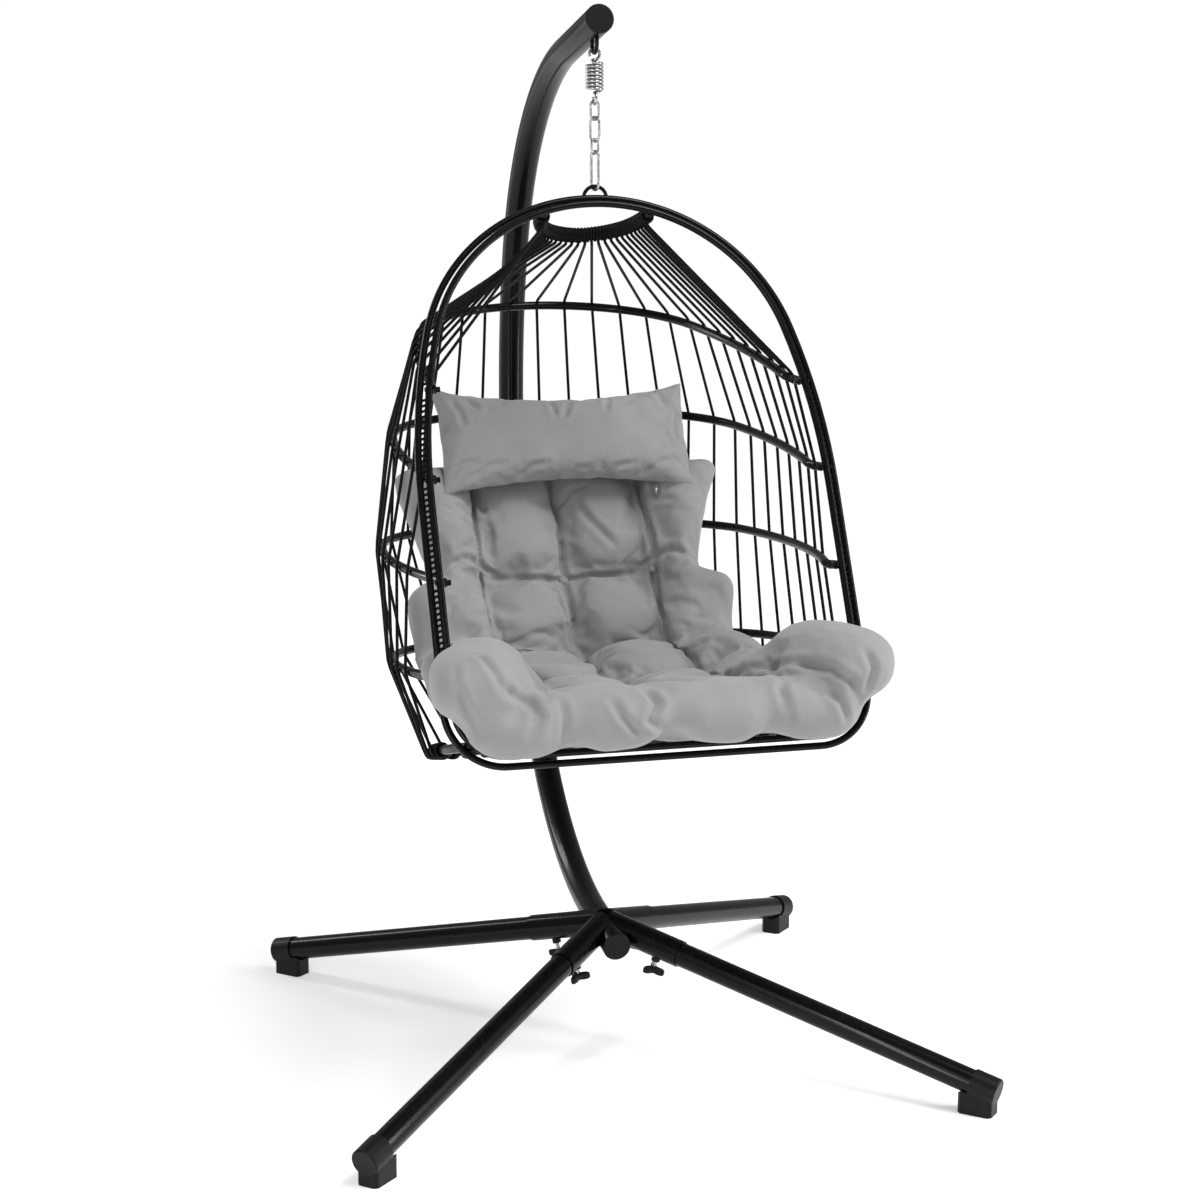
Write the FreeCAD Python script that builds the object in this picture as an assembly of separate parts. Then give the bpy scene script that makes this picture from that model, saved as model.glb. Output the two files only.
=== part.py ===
import FreeCAD, Part
import math
import os

# Hanging egg chair: a cord cage on a double front hoop, hung by a spring and links from a
# C-shaped pole on four sloping legs. Millimetres, +Z up, the chair faces -Y. It is drawn about
# the middle of its four legs and written out about the middle of its whole length on the floor.

# Stand
POLE_DIA = 54.0
POLE_SIDES = 16
POLE_WALL = 2.0
POLE_FRONT_Y = -79.0
POLE_FRONT_Z = 209.0
POLE_START_SLOPE = 7.0
POLE_FOOT_LENGTH = 162.0
POLE_LOW_RADIUS = 668.0
POLE_LOW_TURN = 38.7
POLE_BACK_RADIUS = 1071.0
POLE_BACK_TURN = 61.8
POLE_TOP_RADIUS = 586.0
POLE_TOP_TURN = 63.1
POLE_TOP_LENGTH = 247.0
POLE_JOINT_SHARE = 0.45
POLE_PLUG_LENGTH = 90.0
POLE_PLUG_WALL = 2.0
POLE_BOLT_DIA = 8.0
POLE_BOLT_HEAD_DIA = 14.0
POLE_BOLT_HEAD_HEIGHT = 5.5
POLE_CAP_THICKNESS = 4.0
POLE_CAP_PLUG = 18.0
POLE_CAP_BEVEL = 1.5
LEG_DIA = 46.0
LEG_WALL = 1.6
LEG_REACH = 800.0
LEG_INNER_END = 66.0
HUB_HEIGHT = 234.0
FOOT_AXIS_HEIGHT = 44.0
SOCKET_WALL = 2.5
SOCKET_REACH = 165.0
SOCKET_INNER_END = 8.0
FIT_GAP = 0.1
FOOT_CAP_WALL = 3.0
FOOT_CAP_LENGTH = 44.0
FOOT_CAP_END = 5.0
FOOT_CAP_BEVEL = 2.5
FOOT_BLOCK_LENGTH = 64.0
FOOT_BLOCK_WIDTH = 42.0
FOOT_BLOCK_BEVEL = 6.0
KNOB_REACH = 118.0
KNOB_HUB_DIA = 16.0
KNOB_HUB_HEIGHT = 12.0
KNOB_LOBE_DIA = 13.0
KNOB_LOBE_REACH = 17.0
KNOB_LOBES = 3
KNOB_LOBE_STEP = 1.5
KNOB_LOBE_HEIGHT = 9.0
KNOB_WEB_WIDTH = 9.0
KNOB_DROP = 13.0
KNOB_SCREW_DIA = 8.0
BOSS_DIA = 17.0
BOSS_HEIGHT = 8.0

# Hanging set, from the pole down to the basket
WIRE_SIDES = 8
HOOK_Y = 62.0
EYE_WIRE = 8.0
EYE_BORE = 26.0
EYE_DROP = 8.0
SPRING_WIRE = 6.0
SPRING_DIA = 34.0
SPRING_TURNS = 7
SPRING_SIDES = 6
SPRING_TURN_GAP = 0.6
SPRING_LOOP_RADIUS = 10.0
LONG_LINK_WIRE = 4.5
LONG_LINK_LENGTH = 38.5
LONG_LINK_WIDTH = 20.0
CARABINER_WIRE = 5.0
CARABINER_LENGTH = 50.0
CARABINER_WIDTH = 28.0
CARABINER_TURN = -60.0
CHAIN_WIRE = 4.5
CHAIN_LENGTH = 32.0
CHAIN_WIDTH = 22.0
CHAIN_TURN = 30.0
SNAP_WIRE = 5.5
SNAP_LENGTH = 76.0
SNAP_WIDTH = 24.0
SNAP_TURN = -60.0
GATE_SHARE = 0.8
GATE_GAP = 0.4
RIVET_DIA = 1.8
TONGUE = 2.0
LINK_CLEARANCE = 0.3
BASKET_RING_WIRE = 7.0
BASKET_RING_WIDTH = 51.0

# Basket hoops, laid out in the plane of the hoop, which leans back
HOOP_LEAN = 26.6
HOOP_HEIGHT = 1080.0
HOOP_HALF_WIDTH = 392.0
HOOP_TOP_RADIUS = 362.0
HOOP_TOP_TURN = 75.0
HOOP_CORNER_RADIUS = 110.0
HOOP_TUBE = 13.0
HOOP_SIDES = 10
HOOP_SPACING = 16.0
HOOP_STAGGER = 10.0
LACE_PITCH = 10.4
LACE_START = 372.0
LACE_WIDTH = 5.0
LACE_THICKNESS = 3.0

# Bowed tubes of the cage: level of the ends down the hoop, tilt, depth, flare of the ends, how
# far the side and the corner turn, and the corner's radius
RIB_TUBE = 17.0
RIB_SIDES = 10
RIBS = {
    "upper_rib": dict(level=385.0, tilt=10.9, depth=642.0, flare=2.0, side=18.0, corner=46.0, radius=270.0),
    "shoulder_rib": dict(level=555.0, tilt=4.6, depth=690.0, flare=10.0, side=10.0, corner=58.0, radius=260.0),
    "middle_rib": dict(level=744.0, tilt=-0.8, depth=784.0, flare=17.0, side=12.0, corner=56.0, radius=280.0),
    "lower_rib": dict(level=922.0, tilt=-5.0, depth=700.0, flare=22.0, side=16.0, corner=52.0, radius=260.0),
}
RIB_START = 22.0
RIB_HOOP_GAP = 1.6
TAB_WIDTH = 16.0
TAB_THICKNESS = 4.0
TAB_INSET = 30.0
BOLT_DIA = 6.0
BOLT_HEAD_DIA = 10.0
BOLT_HEAD_HEIGHT = 3.0
NUT_DIA = 11.0
NUT_HEIGHT = 7.0
BAND_TUBE = 16.0
BAND = dict(level=38.0, tilt=-16.0, depth=150.0, flare=0.0, side=20.0, corner=50.0, radius=110.0)
SEAT_RING = dict(level=1034.0, tilt=-15.0, depth=440.0, flare=20.0, side=16.0, corner=56.0, radius=170.0)
CORD_DIA = 6.0
CORD_SIDES = 6
CORD_COUNT = 29
CORD_GAP = 0.15
BAND_CORD_PITCH = 13.0
RIB_CORD_PITCH = {"upper_rib": 55.4, "shoulder_rib": 62.0, "middle_rib": 62.0, "lower_rib": 54.0}
SEAT_RING_CORD_PITCH = 40.0
KNOT_DIA = 30.0
KNOT_SIDES = 6
KNOT_LENGTH = 14.0
BAND_KNOT_LENGTH = 10.0
KNOT_ROOM = 0.3
SEAT_CORDS = 12

# Cushions: stuffed cells, each a crowned block with rounded edges, sewn in rows and columns
SOFT_GAP = 0.4
CELL_PROFILE = ((-1.0, 1.0), (-0.78, 0.4), (-0.35, 0.06), (0.35, 0.06), (0.78, 0.4), (1.0, 1.0))
CELL_EDGE = 40.0
CELL_CORNER = 34.0
CUSHION_SHIFT = -6.0
COLUMN = 178.0
SIDE_COLUMN = 154.0
COLUMNS = 4
SEAM_LAP = 8.0
BACK_LEAN = 33.0
BACK_DEPTH = 108.0
BACK_FOOT_Y = 222.0
BACK_FOOT_Z = 716.0
BACK_ROWS = (158.0, 252.0)
BACK_WRAP = 44.0
CORE_SHARE = 0.5
SEAT_DEPTH = 90.0
SEAT_TOP_Z = 738.0
SEAT_REAR_Y = 176.0
SEAT_ROWS = (236.0, 250.0)
SEAT_PITCH = 12.0
SEAT_SIDE_ROLL = 30.0
SEAT_SIDE_IN = 34.0
SEAT_SIDE_UP = 36.0
ROLL_SHARE = 0.93
ROLL_Y = -404.0
ROLL_HEIGHT = 104.0
ROLL_DEPTH = 136.0
ARM_X = 318.0
ARM_Y = -352.0
ARM_LENGTH = 230.0
ARM_WIDTH = 150.0
ARM_HEIGHT = 112.0
ARM_Z = 806.0
PILLOW_WIDTH = 528.0
PILLOW_HEIGHT = 234.0
PILLOW_DEPTH = 92.0
PILLOW_X = 10.0
PILLOW_Y = 346.0
PILLOW_Z = 1140.0
PILLOW_LEAN = 30.0
PILLOW_DRAW = 14.0
BUTTON_DIA = 19.0
BUTTON_HEIGHT = 7.0
TIE_DIA = 24.0
TIE_LENGTH = 9.0
TIE_REACH = 22.0
PULL_X = 186.0
PULL_LENGTH = 20.0
PULL_WIDTH = 5.0
PULL_THICKNESS = 1.6
PULL_LAP = 2.0

V = FreeCAD.Vector
X_AXIS = V(1, 0, 0)
Y_AXIS = V(0, 1, 0)
Z_AXIS = V(0, 0, 1)


PIECES = {}


def save(name, shape):
    """Keep one piece, or one group of like pieces, under its own name."""
    solids = shape.Solids
    PIECES[name] = solids[0] if len(solids) == 1 else Part.makeCompound(solids)
    print(name, len(solids), "solids", round(sum(s.Volume for s in solids) / 1000.0, 1), "cm3")


def write_out():
    """Write every piece, with the origin under the middle of the whole chair's length."""
    front = min(PIECES[name].optimalBoundingBox(False).YMin for name in ("front_left_foot", "front_right_foot"))
    back = PIECES["upper_pole"].optimalBoundingBox(False).YMax
    shift = -(front + back) / 2
    print("drawn middle of the legs lies at Y", round(shift, 3), "and the hook at Y", round(shift + HOOK_Y, 3))
    for name, shape in PIECES.items():
        shape.translate(V(0, shift, 0))
        shape.exportStep("parts/" + name + ".step")


def chain(start, heading, moves):
    """Edges of a flat run in XY: (length, 0) is straight, (radius, turn) is an arc to the left."""
    edges = []
    at = V(start)
    angle = math.radians(heading)
    for size, turn in moves:
        ahead = V(math.cos(angle), math.sin(angle), 0)
        if turn == 0:
            end = at + ahead * size
            edges.append(Part.LineSegment(at, end).toShape())
        else:
            sweep = math.radians(turn)
            side = math.copysign(1.0, turn)
            centre = at + V(-ahead.y, ahead.x, 0) * size * side
            out = at - centre
            points = []
            for part in (0.5, 1.0):
                turned = sweep * part
                points.append(centre + V(out.x * math.cos(turned) - out.y * math.sin(turned),
                                         out.x * math.sin(turned) + out.y * math.cos(turned), 0))
            edges.append(Part.Arc(at, points[0], points[1]).toShape())
            end = points[1]
            angle += sweep
        at = end
    return edges


def facets(diameter, sides, at, ahead):
    """The outline of a many-sided round section, square to ahead."""
    frame = FreeCAD.Placement(at, FreeCAD.Rotation(Z_AXIS, ahead))
    corners = []
    for i in range(sides + 1):
        angle = 2 * math.pi * (i + 0.5) / sides
        corners.append(frame.multVec(V(math.cos(angle), math.sin(angle), 0) * (diameter / 2)))
    return Part.makePolygon(corners)


def tube(edges, diameter, sides, wall=0.0):
    """A tube, or a bar where no wall is given, along edges."""
    path = Part.Wire(edges)
    first = edges[0]
    start = first.valueAt(first.FirstParameter)
    ahead = first.tangentAt(first.FirstParameter)
    body = path.makePipeShell([facets(diameter, sides, start, ahead)], True, False)
    if wall:
        bore = facets(diameter - 2 * wall, sides, start, ahead)
        body = body.cut(path.makePipeShell([bore], True, False))
    return body


def prism(diameter, sides, start, run):
    """A straight many-sided bar."""
    return Part.Face(facets(diameter, sides, start, run)).extrude(run)


def mirrored(shape):
    """The same piece on the other side of the chair."""
    return shape.mirror(V(0, 0, 0), X_AXIS)


# The pole runs in the plane X = 0, drawn in XY and stood up
STAND_UP = FreeCAD.Placement(V(0, 0, 0), FreeCAD.Rotation(Z_AXIS, 90) * FreeCAD.Rotation(X_AXIS, 90))


def pole_edges():
    """The two bent lengths of the pole's centre line and the run that both share."""
    lower_turn = POLE_BACK_TURN * POLE_JOINT_SHARE
    start = V(POLE_FRONT_Y, POLE_FRONT_Z, 0)
    lower = chain(start, POLE_START_SLOPE, [
        (POLE_FOOT_LENGTH, 0), (POLE_LOW_RADIUS, POLE_LOW_TURN), (POLE_BACK_RADIUS, lower_turn)])
    joint = lower[-1].valueAt(lower[-1].LastParameter)
    heading = POLE_START_SLOPE + POLE_LOW_TURN + lower_turn
    upper = chain(joint, heading, [
        (POLE_BACK_RADIUS, POLE_BACK_TURN - lower_turn), (POLE_TOP_RADIUS, POLE_TOP_TURN),
        (POLE_TOP_LENGTH, 0)])
    back = math.degrees(POLE_PLUG_LENGTH / POLE_BACK_RADIUS)
    plug = chain(joint, heading + 180.0, [(POLE_BACK_RADIUS, -back)])
    return lower, upper, plug, joint, heading


def stood(shape):
    """The flat pole drawing turned upright."""
    out = shape.copy()
    out.Placement = STAND_UP.multiply(out.Placement)
    return out


def make_pole():
    """Two bent tubes that plug together, their bolts, and a cap in each end."""
    lower, upper, plug, joint, heading = pole_edges()
    lower_tube = tube(lower, POLE_DIA, POLE_SIDES, POLE_WALL)
    upper_tube = tube(upper, POLE_DIA, POLE_SIDES, POLE_WALL)
    bore_dia = POLE_DIA - 2 * POLE_WALL
    plug_dia = bore_dia * math.cos(math.pi / POLE_SIDES) - 2 * FIT_GAP
    plug_tube = tube(plug, plug_dia, POLE_SIDES, POLE_PLUG_WALL)
    neck = tube([upper[0]], bore_dia, POLE_SIDES, (bore_dia - plug_dia) / 2 + POLE_PLUG_WALL)
    short = Part.makeBox(200, POLE_PLUG_WALL * 4, 200, V(-100, 0, -100))
    ahead = V(math.cos(math.radians(heading)), math.sin(math.radians(heading)), 0)
    short.Placement = FreeCAD.Placement(joint, FreeCAD.Rotation(Y_AXIS, ahead))
    collar = neck.common(short)
    upper_tube = upper_tube.fuse(plug_tube).fuse(collar)
    bolts = []
    for share in (0.3, 0.7):
        middle = plug[0].valueAt(plug[0].FirstParameter + share * (plug[0].LastParameter - plug[0].FirstParameter))
        bore = Part.makeCylinder(POLE_BOLT_DIA / 2 + FIT_GAP, 2 * POLE_DIA, middle - Z_AXIS * POLE_DIA, Z_AXIS)
        lower_tube = lower_tube.cut(bore)
        upper_tube = upper_tube.cut(bore)
        half = POLE_DIA / 2
        shank = prism(POLE_BOLT_DIA, WIRE_SIDES, middle - Z_AXIS * (half + 0.5), Z_AXIS * (POLE_DIA + 1.0))
        head = prism(POLE_BOLT_HEAD_DIA, 6, middle + Z_AXIS * half, Z_AXIS * POLE_BOLT_HEAD_HEIGHT)
        nut = prism(POLE_BOLT_HEAD_DIA, 6, middle - Z_AXIS * half, Z_AXIS * -POLE_BOLT_HEAD_HEIGHT)
        bolts.append(shank.fuse(head).fuse(nut))
    save("lower_pole", stood(lower_tube))
    save("upper_pole", stood(upper_tube))
    save("pole_bolts", stood(Part.makeCompound(bolts)))
    for name, edge, at_start in (("lower_pole_cap", lower[0], True), ("upper_pole_cap", upper[-1], False)):
        param = edge.FirstParameter if at_start else edge.LastParameter
        at = edge.valueAt(param)
        out = edge.tangentAt(param) * (-1.0 if at_start else 1.0)
        disc = Part.makeCone(POLE_DIA / 2, POLE_DIA / 2 - POLE_CAP_BEVEL, POLE_CAP_BEVEL,
                             at + out * (POLE_CAP_THICKNESS - POLE_CAP_BEVEL), out)
        disc = disc.fuse(Part.makeCylinder(POLE_DIA / 2, POLE_CAP_THICKNESS - POLE_CAP_BEVEL, at, out))
        stem_dia = POLE_DIA * math.cos(math.pi / POLE_SIDES) - 2 * POLE_WALL - 2 * FIT_GAP
        stem = Part.makeCylinder(stem_dia / 2, POLE_CAP_PLUG, at, out * -1.0)
        save(name, stood(disc.fuse(stem)))
    return stood(tube(lower, POLE_DIA, POLE_SIDES)), stood(tube(upper, POLE_DIA, POLE_SIDES))


def leg_axis():
    """A leg's axis in its own frame, where X runs outwards: start, direction, length per reach."""
    start = V(0, 0, HUB_HEIGHT)
    run = V(LEG_REACH, 0, FOOT_AXIS_HEIGHT - HUB_HEIGHT)
    return start, run / run.Length, run.Length / LEG_REACH


def turned(shape, angle):
    """The piece turned about the chair's upright middle line."""
    out = shape.copy()
    out.rotate(V(0, 0, 0), Z_AXIS, angle)
    return out


def make_legs(lower_solid):
    """Sockets on the pole, the legs in them, foot caps, and a clamping knob under each socket."""
    start, axis, scale = leg_axis()
    down = V(axis.z, 0, -axis.x)
    socket_dia = LEG_DIA + 2 * SOCKET_WALL
    leg_in = LEG_INNER_END * scale
    leg_end = LEG_REACH * scale
    socket_in = SOCKET_INNER_END * scale
    socket_end = SOCKET_REACH * scale
    knob_at = start + axis * KNOB_REACH * scale
    socket = Part.makeCylinder(socket_dia / 2, socket_end - socket_in, start + axis * socket_in, axis)
    boss = Part.makeCylinder(BOSS_DIA / 2, socket_dia / 2 + BOSS_HEIGHT, knob_at, down)
    bore = Part.makeCylinder(LEG_DIA / 2 + FIT_GAP, socket_end, start + axis * (leg_in - 2), axis)
    hole = Part.makeCylinder(KNOB_SCREW_DIA / 2 + FIT_GAP, socket_dia, knob_at, down)
    leg = Part.makeCylinder(LEG_DIA / 2, leg_end - leg_in, start + axis * leg_in, axis)
    inside = Part.makeCylinder(LEG_DIA / 2 - LEG_WALL, leg_end - leg_in, start + axis * leg_in, axis)
    leg = leg.cut(inside)
    foot_cap = foot(start, axis, down, leg_end)
    grip, screw = knob(knob_at, down, axis)
    for name, angle in (("front_right", -45), ("rear_right", 45), ("rear_left", 135), ("front_left", -135)):
        corner = V(0 if "right" in name else -300, 0 if "rear" in name else -300, 0)
        quarter = Part.makeBox(300, 300, 600, corner)
        sleeve = turned(socket, angle).common(quarter).cut(lower_solid).fuse(turned(boss, angle))
        sleeve = sleeve.cut(turned(bore, angle)).cut(turned(hole, angle))
        save(name + "_socket", sleeve)
        save(name + "_leg", turned(leg, angle))
        save(name + "_foot", turned(foot_cap, angle))
        save(name + "_knob", turned(grip, angle))
        save(name + "_knob_screw", turned(screw, angle))


def foot(start, axis, down, leg_end):
    """A moulded cap over the leg's end with a block under it that stands on the floor."""
    cap_dia = LEG_DIA + 2 * FOOT_CAP_WALL
    open_end = leg_end - FOOT_CAP_LENGTH
    length = FOOT_CAP_LENGTH + FOOT_CAP_END
    mouth = start + axis * open_end
    tip = mouth + axis * length
    cap = Part.makeCylinder(cap_dia / 2, length, mouth, axis)
    rim = [e for e in cap.Edges if len(e.Vertexes) == 1 and (e.Vertexes[0].Point - tip).dot(axis) > -0.1]
    cap = cap.makeChamfer(FOOT_CAP_BEVEL, rim)
    block = Part.makeBox(FOOT_BLOCK_LENGTH, FOOT_BLOCK_WIDTH, FOOT_AXIS_HEIGHT + 20.0,
                         V(tip.x - FOOT_BLOCK_LENGTH - 6.0, -FOOT_BLOCK_WIDTH / 2, 0))
    upright = [e for e in block.Edges if abs(e.tangentAt(e.FirstParameter).z) > 0.9]
    block = block.makeChamfer(FOOT_BLOCK_BEVEL, upright)
    roof = Part.makeBox(600, 600, 200, V(-300, -300, 0))
    roof.Placement = FreeCAD.Placement(mouth, FreeCAD.Rotation(axis, Y_AXIS, down * -1.0, "ZXY"))
    past = Part.makeCylinder(cap_dia / 2, leg_end, start, axis)
    whole = block.cut(roof).cut(past).fuse(cap)
    bore = Part.makeCylinder(LEG_DIA / 2 + FIT_GAP, FOOT_CAP_LENGTH + 0.2, mouth - axis * 0.1, axis)
    return whole.cut(bore)


def knob(at, down, axis):
    """A three-lobed knob moulded round the head of its screw."""
    top = at + down * (LEG_DIA / 2 + SOCKET_WALL + BOSS_HEIGHT + KNOB_DROP)
    frame = FreeCAD.Placement(top, FreeCAD.Rotation(axis, Y_AXIS, down, "ZXY"))
    grip = prism(KNOB_HUB_DIA, WIRE_SIDES, V(0, 0, 0), Z_AXIS * KNOB_HUB_HEIGHT)
    for i in range(KNOB_LOBES):
        tip = prism(KNOB_LOBE_DIA, WIRE_SIDES, V(KNOB_LOBE_REACH, 0, KNOB_LOBE_STEP), Z_AXIS * KNOB_LOBE_HEIGHT)
        web = Part.makeBox(KNOB_LOBE_REACH, KNOB_WEB_WIDTH, KNOB_LOBE_HEIGHT - 2.0,
                           V(0, -KNOB_WEB_WIDTH / 2, KNOB_LOBE_STEP + 1.0))
        lobe = tip.fuse(web)
        lobe.rotate(V(0, 0, 0), Z_AXIS, 360.0 * i / KNOB_LOBES)
        grip = grip.fuse(lobe)
    grip.Placement = frame
    screw_start = at + down * (LEG_DIA / 2 + LINK_CLEARANCE)
    screw = prism(KNOB_SCREW_DIA, WIRE_SIDES, screw_start, top + down * (KNOB_HUB_HEIGHT * 0.6) - screw_start)
    return grip.cut(screw), screw


def flat_loop(length, width, wire, gate=0.0):
    """A link's centre line in XY with its middle at the origin; a gate leaves the right side open."""
    half = (width - wire) / 2
    side = (length - width) / 2
    if not gate:
        return chain(V(half, -side, 0), 90, [(2 * side, 0), (half, 180), (2 * side, 0), (half, 180)])
    nose = gate / 2
    return chain(V(half, nose, 0), 90, [(side - nose, 0), (half, 180), (2 * side, 0), (half, 180), (side - nose, 0)])


def hung(shape, top, drop, turn):
    """A flat link stood up and turned, with its uppermost centre line at a height."""
    out = shape.copy()
    out.rotate(V(0, 0, 0), X_AXIS, 90)
    out.rotate(V(0, 0, 0), Z_AXIS, turn)
    out.translate(V(0, HOOK_Y, top - drop / 2))
    return out


def gated_link(length, width, wire):
    """A bent wire with a tongue, the forked gate that closes it and the rivet between them."""
    gate = (length - width) * GATE_SHARE
    half = (width - wire) / 2
    body = tube(flat_loop(length, width, wire, gate), wire, WIRE_SIDES)
    low = -gate / 2
    rivet_at = low + wire * 0.65
    tongue = Part.makeBox(wire * 0.8, wire * 1.15, TONGUE, V(half - wire * 0.4, low - 0.1, -TONGUE / 2))
    tongue = tongue.common(Part.makeCylinder(wire * 0.55, 4 * wire, V(half, rivet_at, -2 * wire)).fuse(
        Part.makeBox(wire, wire * 0.65, TONGUE, V(half - wire / 2, low - 0.1, -TONGUE / 2))))
    body = body.fuse(tongue)
    pin = Part.makeCylinder(RIVET_DIA / 2, wire + 1.0, V(half, rivet_at, -(wire + 1.0) / 2))
    hole = Part.makeCylinder(RIVET_DIA / 2 + 0.05, 3 * wire, V(half, rivet_at, -1.5 * wire))
    body = body.cut(hole)
    bar_low = rivet_at - wire * 0.42
    bar = Part.makeCylinder(wire * 0.46, gate / 2 - GATE_GAP - bar_low, V(half, bar_low, 0), Y_AXIS)
    slot = Part.makeBox(2 * wire, wire * 1.25, TONGUE + 0.4, V(half - wire, bar_low - 0.1, -TONGUE / 2 - 0.2))
    bar = bar.cut(slot).cut(hole)
    return body, bar, pin


def bend(start, ahead, end):
    """One arc from start, leaving along ahead, to end."""
    chord = end - start
    along = chord / chord.Length
    side = ahead - along * ahead.dot(along)
    if side.Length < 1e-6:
        return Part.LineSegment(start, end).toShape()
    side.normalize()
    half_turn = math.acos(max(-1.0, min(1.0, ahead.dot(along))))
    middle = start + chord / 2 + side * (chord.Length / 2 * math.tan(half_turn / 2))
    return Part.Arc(start, middle, end).toShape()


def double_bend(start, start_ahead, end, end_ahead):
    """Two tangent arcs that join two points with given directions."""
    gap = end - start
    both = start_ahead + end_ahead
    spread = 2 * (1 - start_ahead.dot(end_ahead))
    reach = (-gap.dot(both) + math.sqrt(gap.dot(both) ** 2 + spread * gap.dot(gap))) / spread
    middle = (start + end + (start_ahead - end_ahead) * reach) / 2
    first = bend(start, start_ahead, middle)
    ahead = first.tangentAt(first.LastParameter)
    return [first, bend(middle, ahead, end)]


def spring_path(top):
    """The spring's wire: top loop across X, close coil, bottom loop across Y; and its low point."""
    loop = SPRING_LOOP_RADIUS
    radius = (SPRING_DIA - SPRING_WIRE) / 2
    pitch = SPRING_WIRE + SPRING_TURN_GAP
    centre_z = top - loop
    stops = []
    for angle in (205, 90, 0):
        a = math.radians(angle)
        stops.append((V(loop * math.cos(a), 0, centre_z + loop * math.sin(a)), V(math.sin(a), 0, -math.cos(a))))
    edges = [bend(stops[0][0], stops[0][1], stops[1][0]), bend(stops[1][0], stops[1][1], stops[2][0])]
    bottom = V(0, 0, centre_z - loop)
    edges.append(bend(stops[2][0], stops[2][1], bottom))
    fall = pitch / (2 * math.pi * radius)
    coil_top = bottom.z - pitch * 0.9

    def coil(angle):
        """A point of the coil and the wire's direction there."""
        a = math.radians(angle)
        at = V(radius * math.cos(a), radius * math.sin(a), coil_top - pitch * (angle - 270) / 360)
        ahead = V(-math.sin(a), math.cos(a), -fall)
        ahead.normalize()
        return at, ahead

    angle = 270
    at, ahead = coil(angle)
    edges += double_bend(bottom, V(-1, 0, 0), at, ahead)
    last = 270 + 90 + 360 * SPRING_TURNS
    while angle < last:
        step = min(180, last - angle)
        next_at, next_ahead = coil(angle + step)
        edges += double_bend(at, ahead, next_at, next_ahead)
        at, ahead = next_at, next_ahead
        angle += step
    low_top = V(0, 0, at.z - pitch * 0.9)
    edges += double_bend(at, ahead, low_top, V(0, -1, 0))
    low_centre = low_top.z - loop
    here = low_top
    way = V(0, -1, 0)
    for angle in (180, 270, 0, 28):
        a = math.radians(angle)
        there = V(0, loop * math.cos(a), low_centre + loop * math.sin(a))
        edges.append(bend(here, way, there))
        here = there
        way = edges[-1].tangentAt(edges[-1].LastParameter)
    return edges, low_centre - loop


def least_gap(edges, wire):
    """The smallest clear distance between stretches of one wire that aren't neighbours."""
    points = []
    run = 0.0
    for edge in edges:
        steps = max(2, int(edge.Length / 1.5))
        for i in range(steps):
            share = edge.FirstParameter + (edge.LastParameter - edge.FirstParameter) * i / steps
            points.append((run + edge.Length * i / steps, edge.valueAt(share)))
        run += edge.Length
    best = 1e9
    for i, (run_a, a) in enumerate(points):
        for run_b, b in points[i + 1:]:
            if run_b - run_a > 2.2 * wire:
                best = min(best, a.distanceToPoint(b))
    return best - wire


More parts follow.
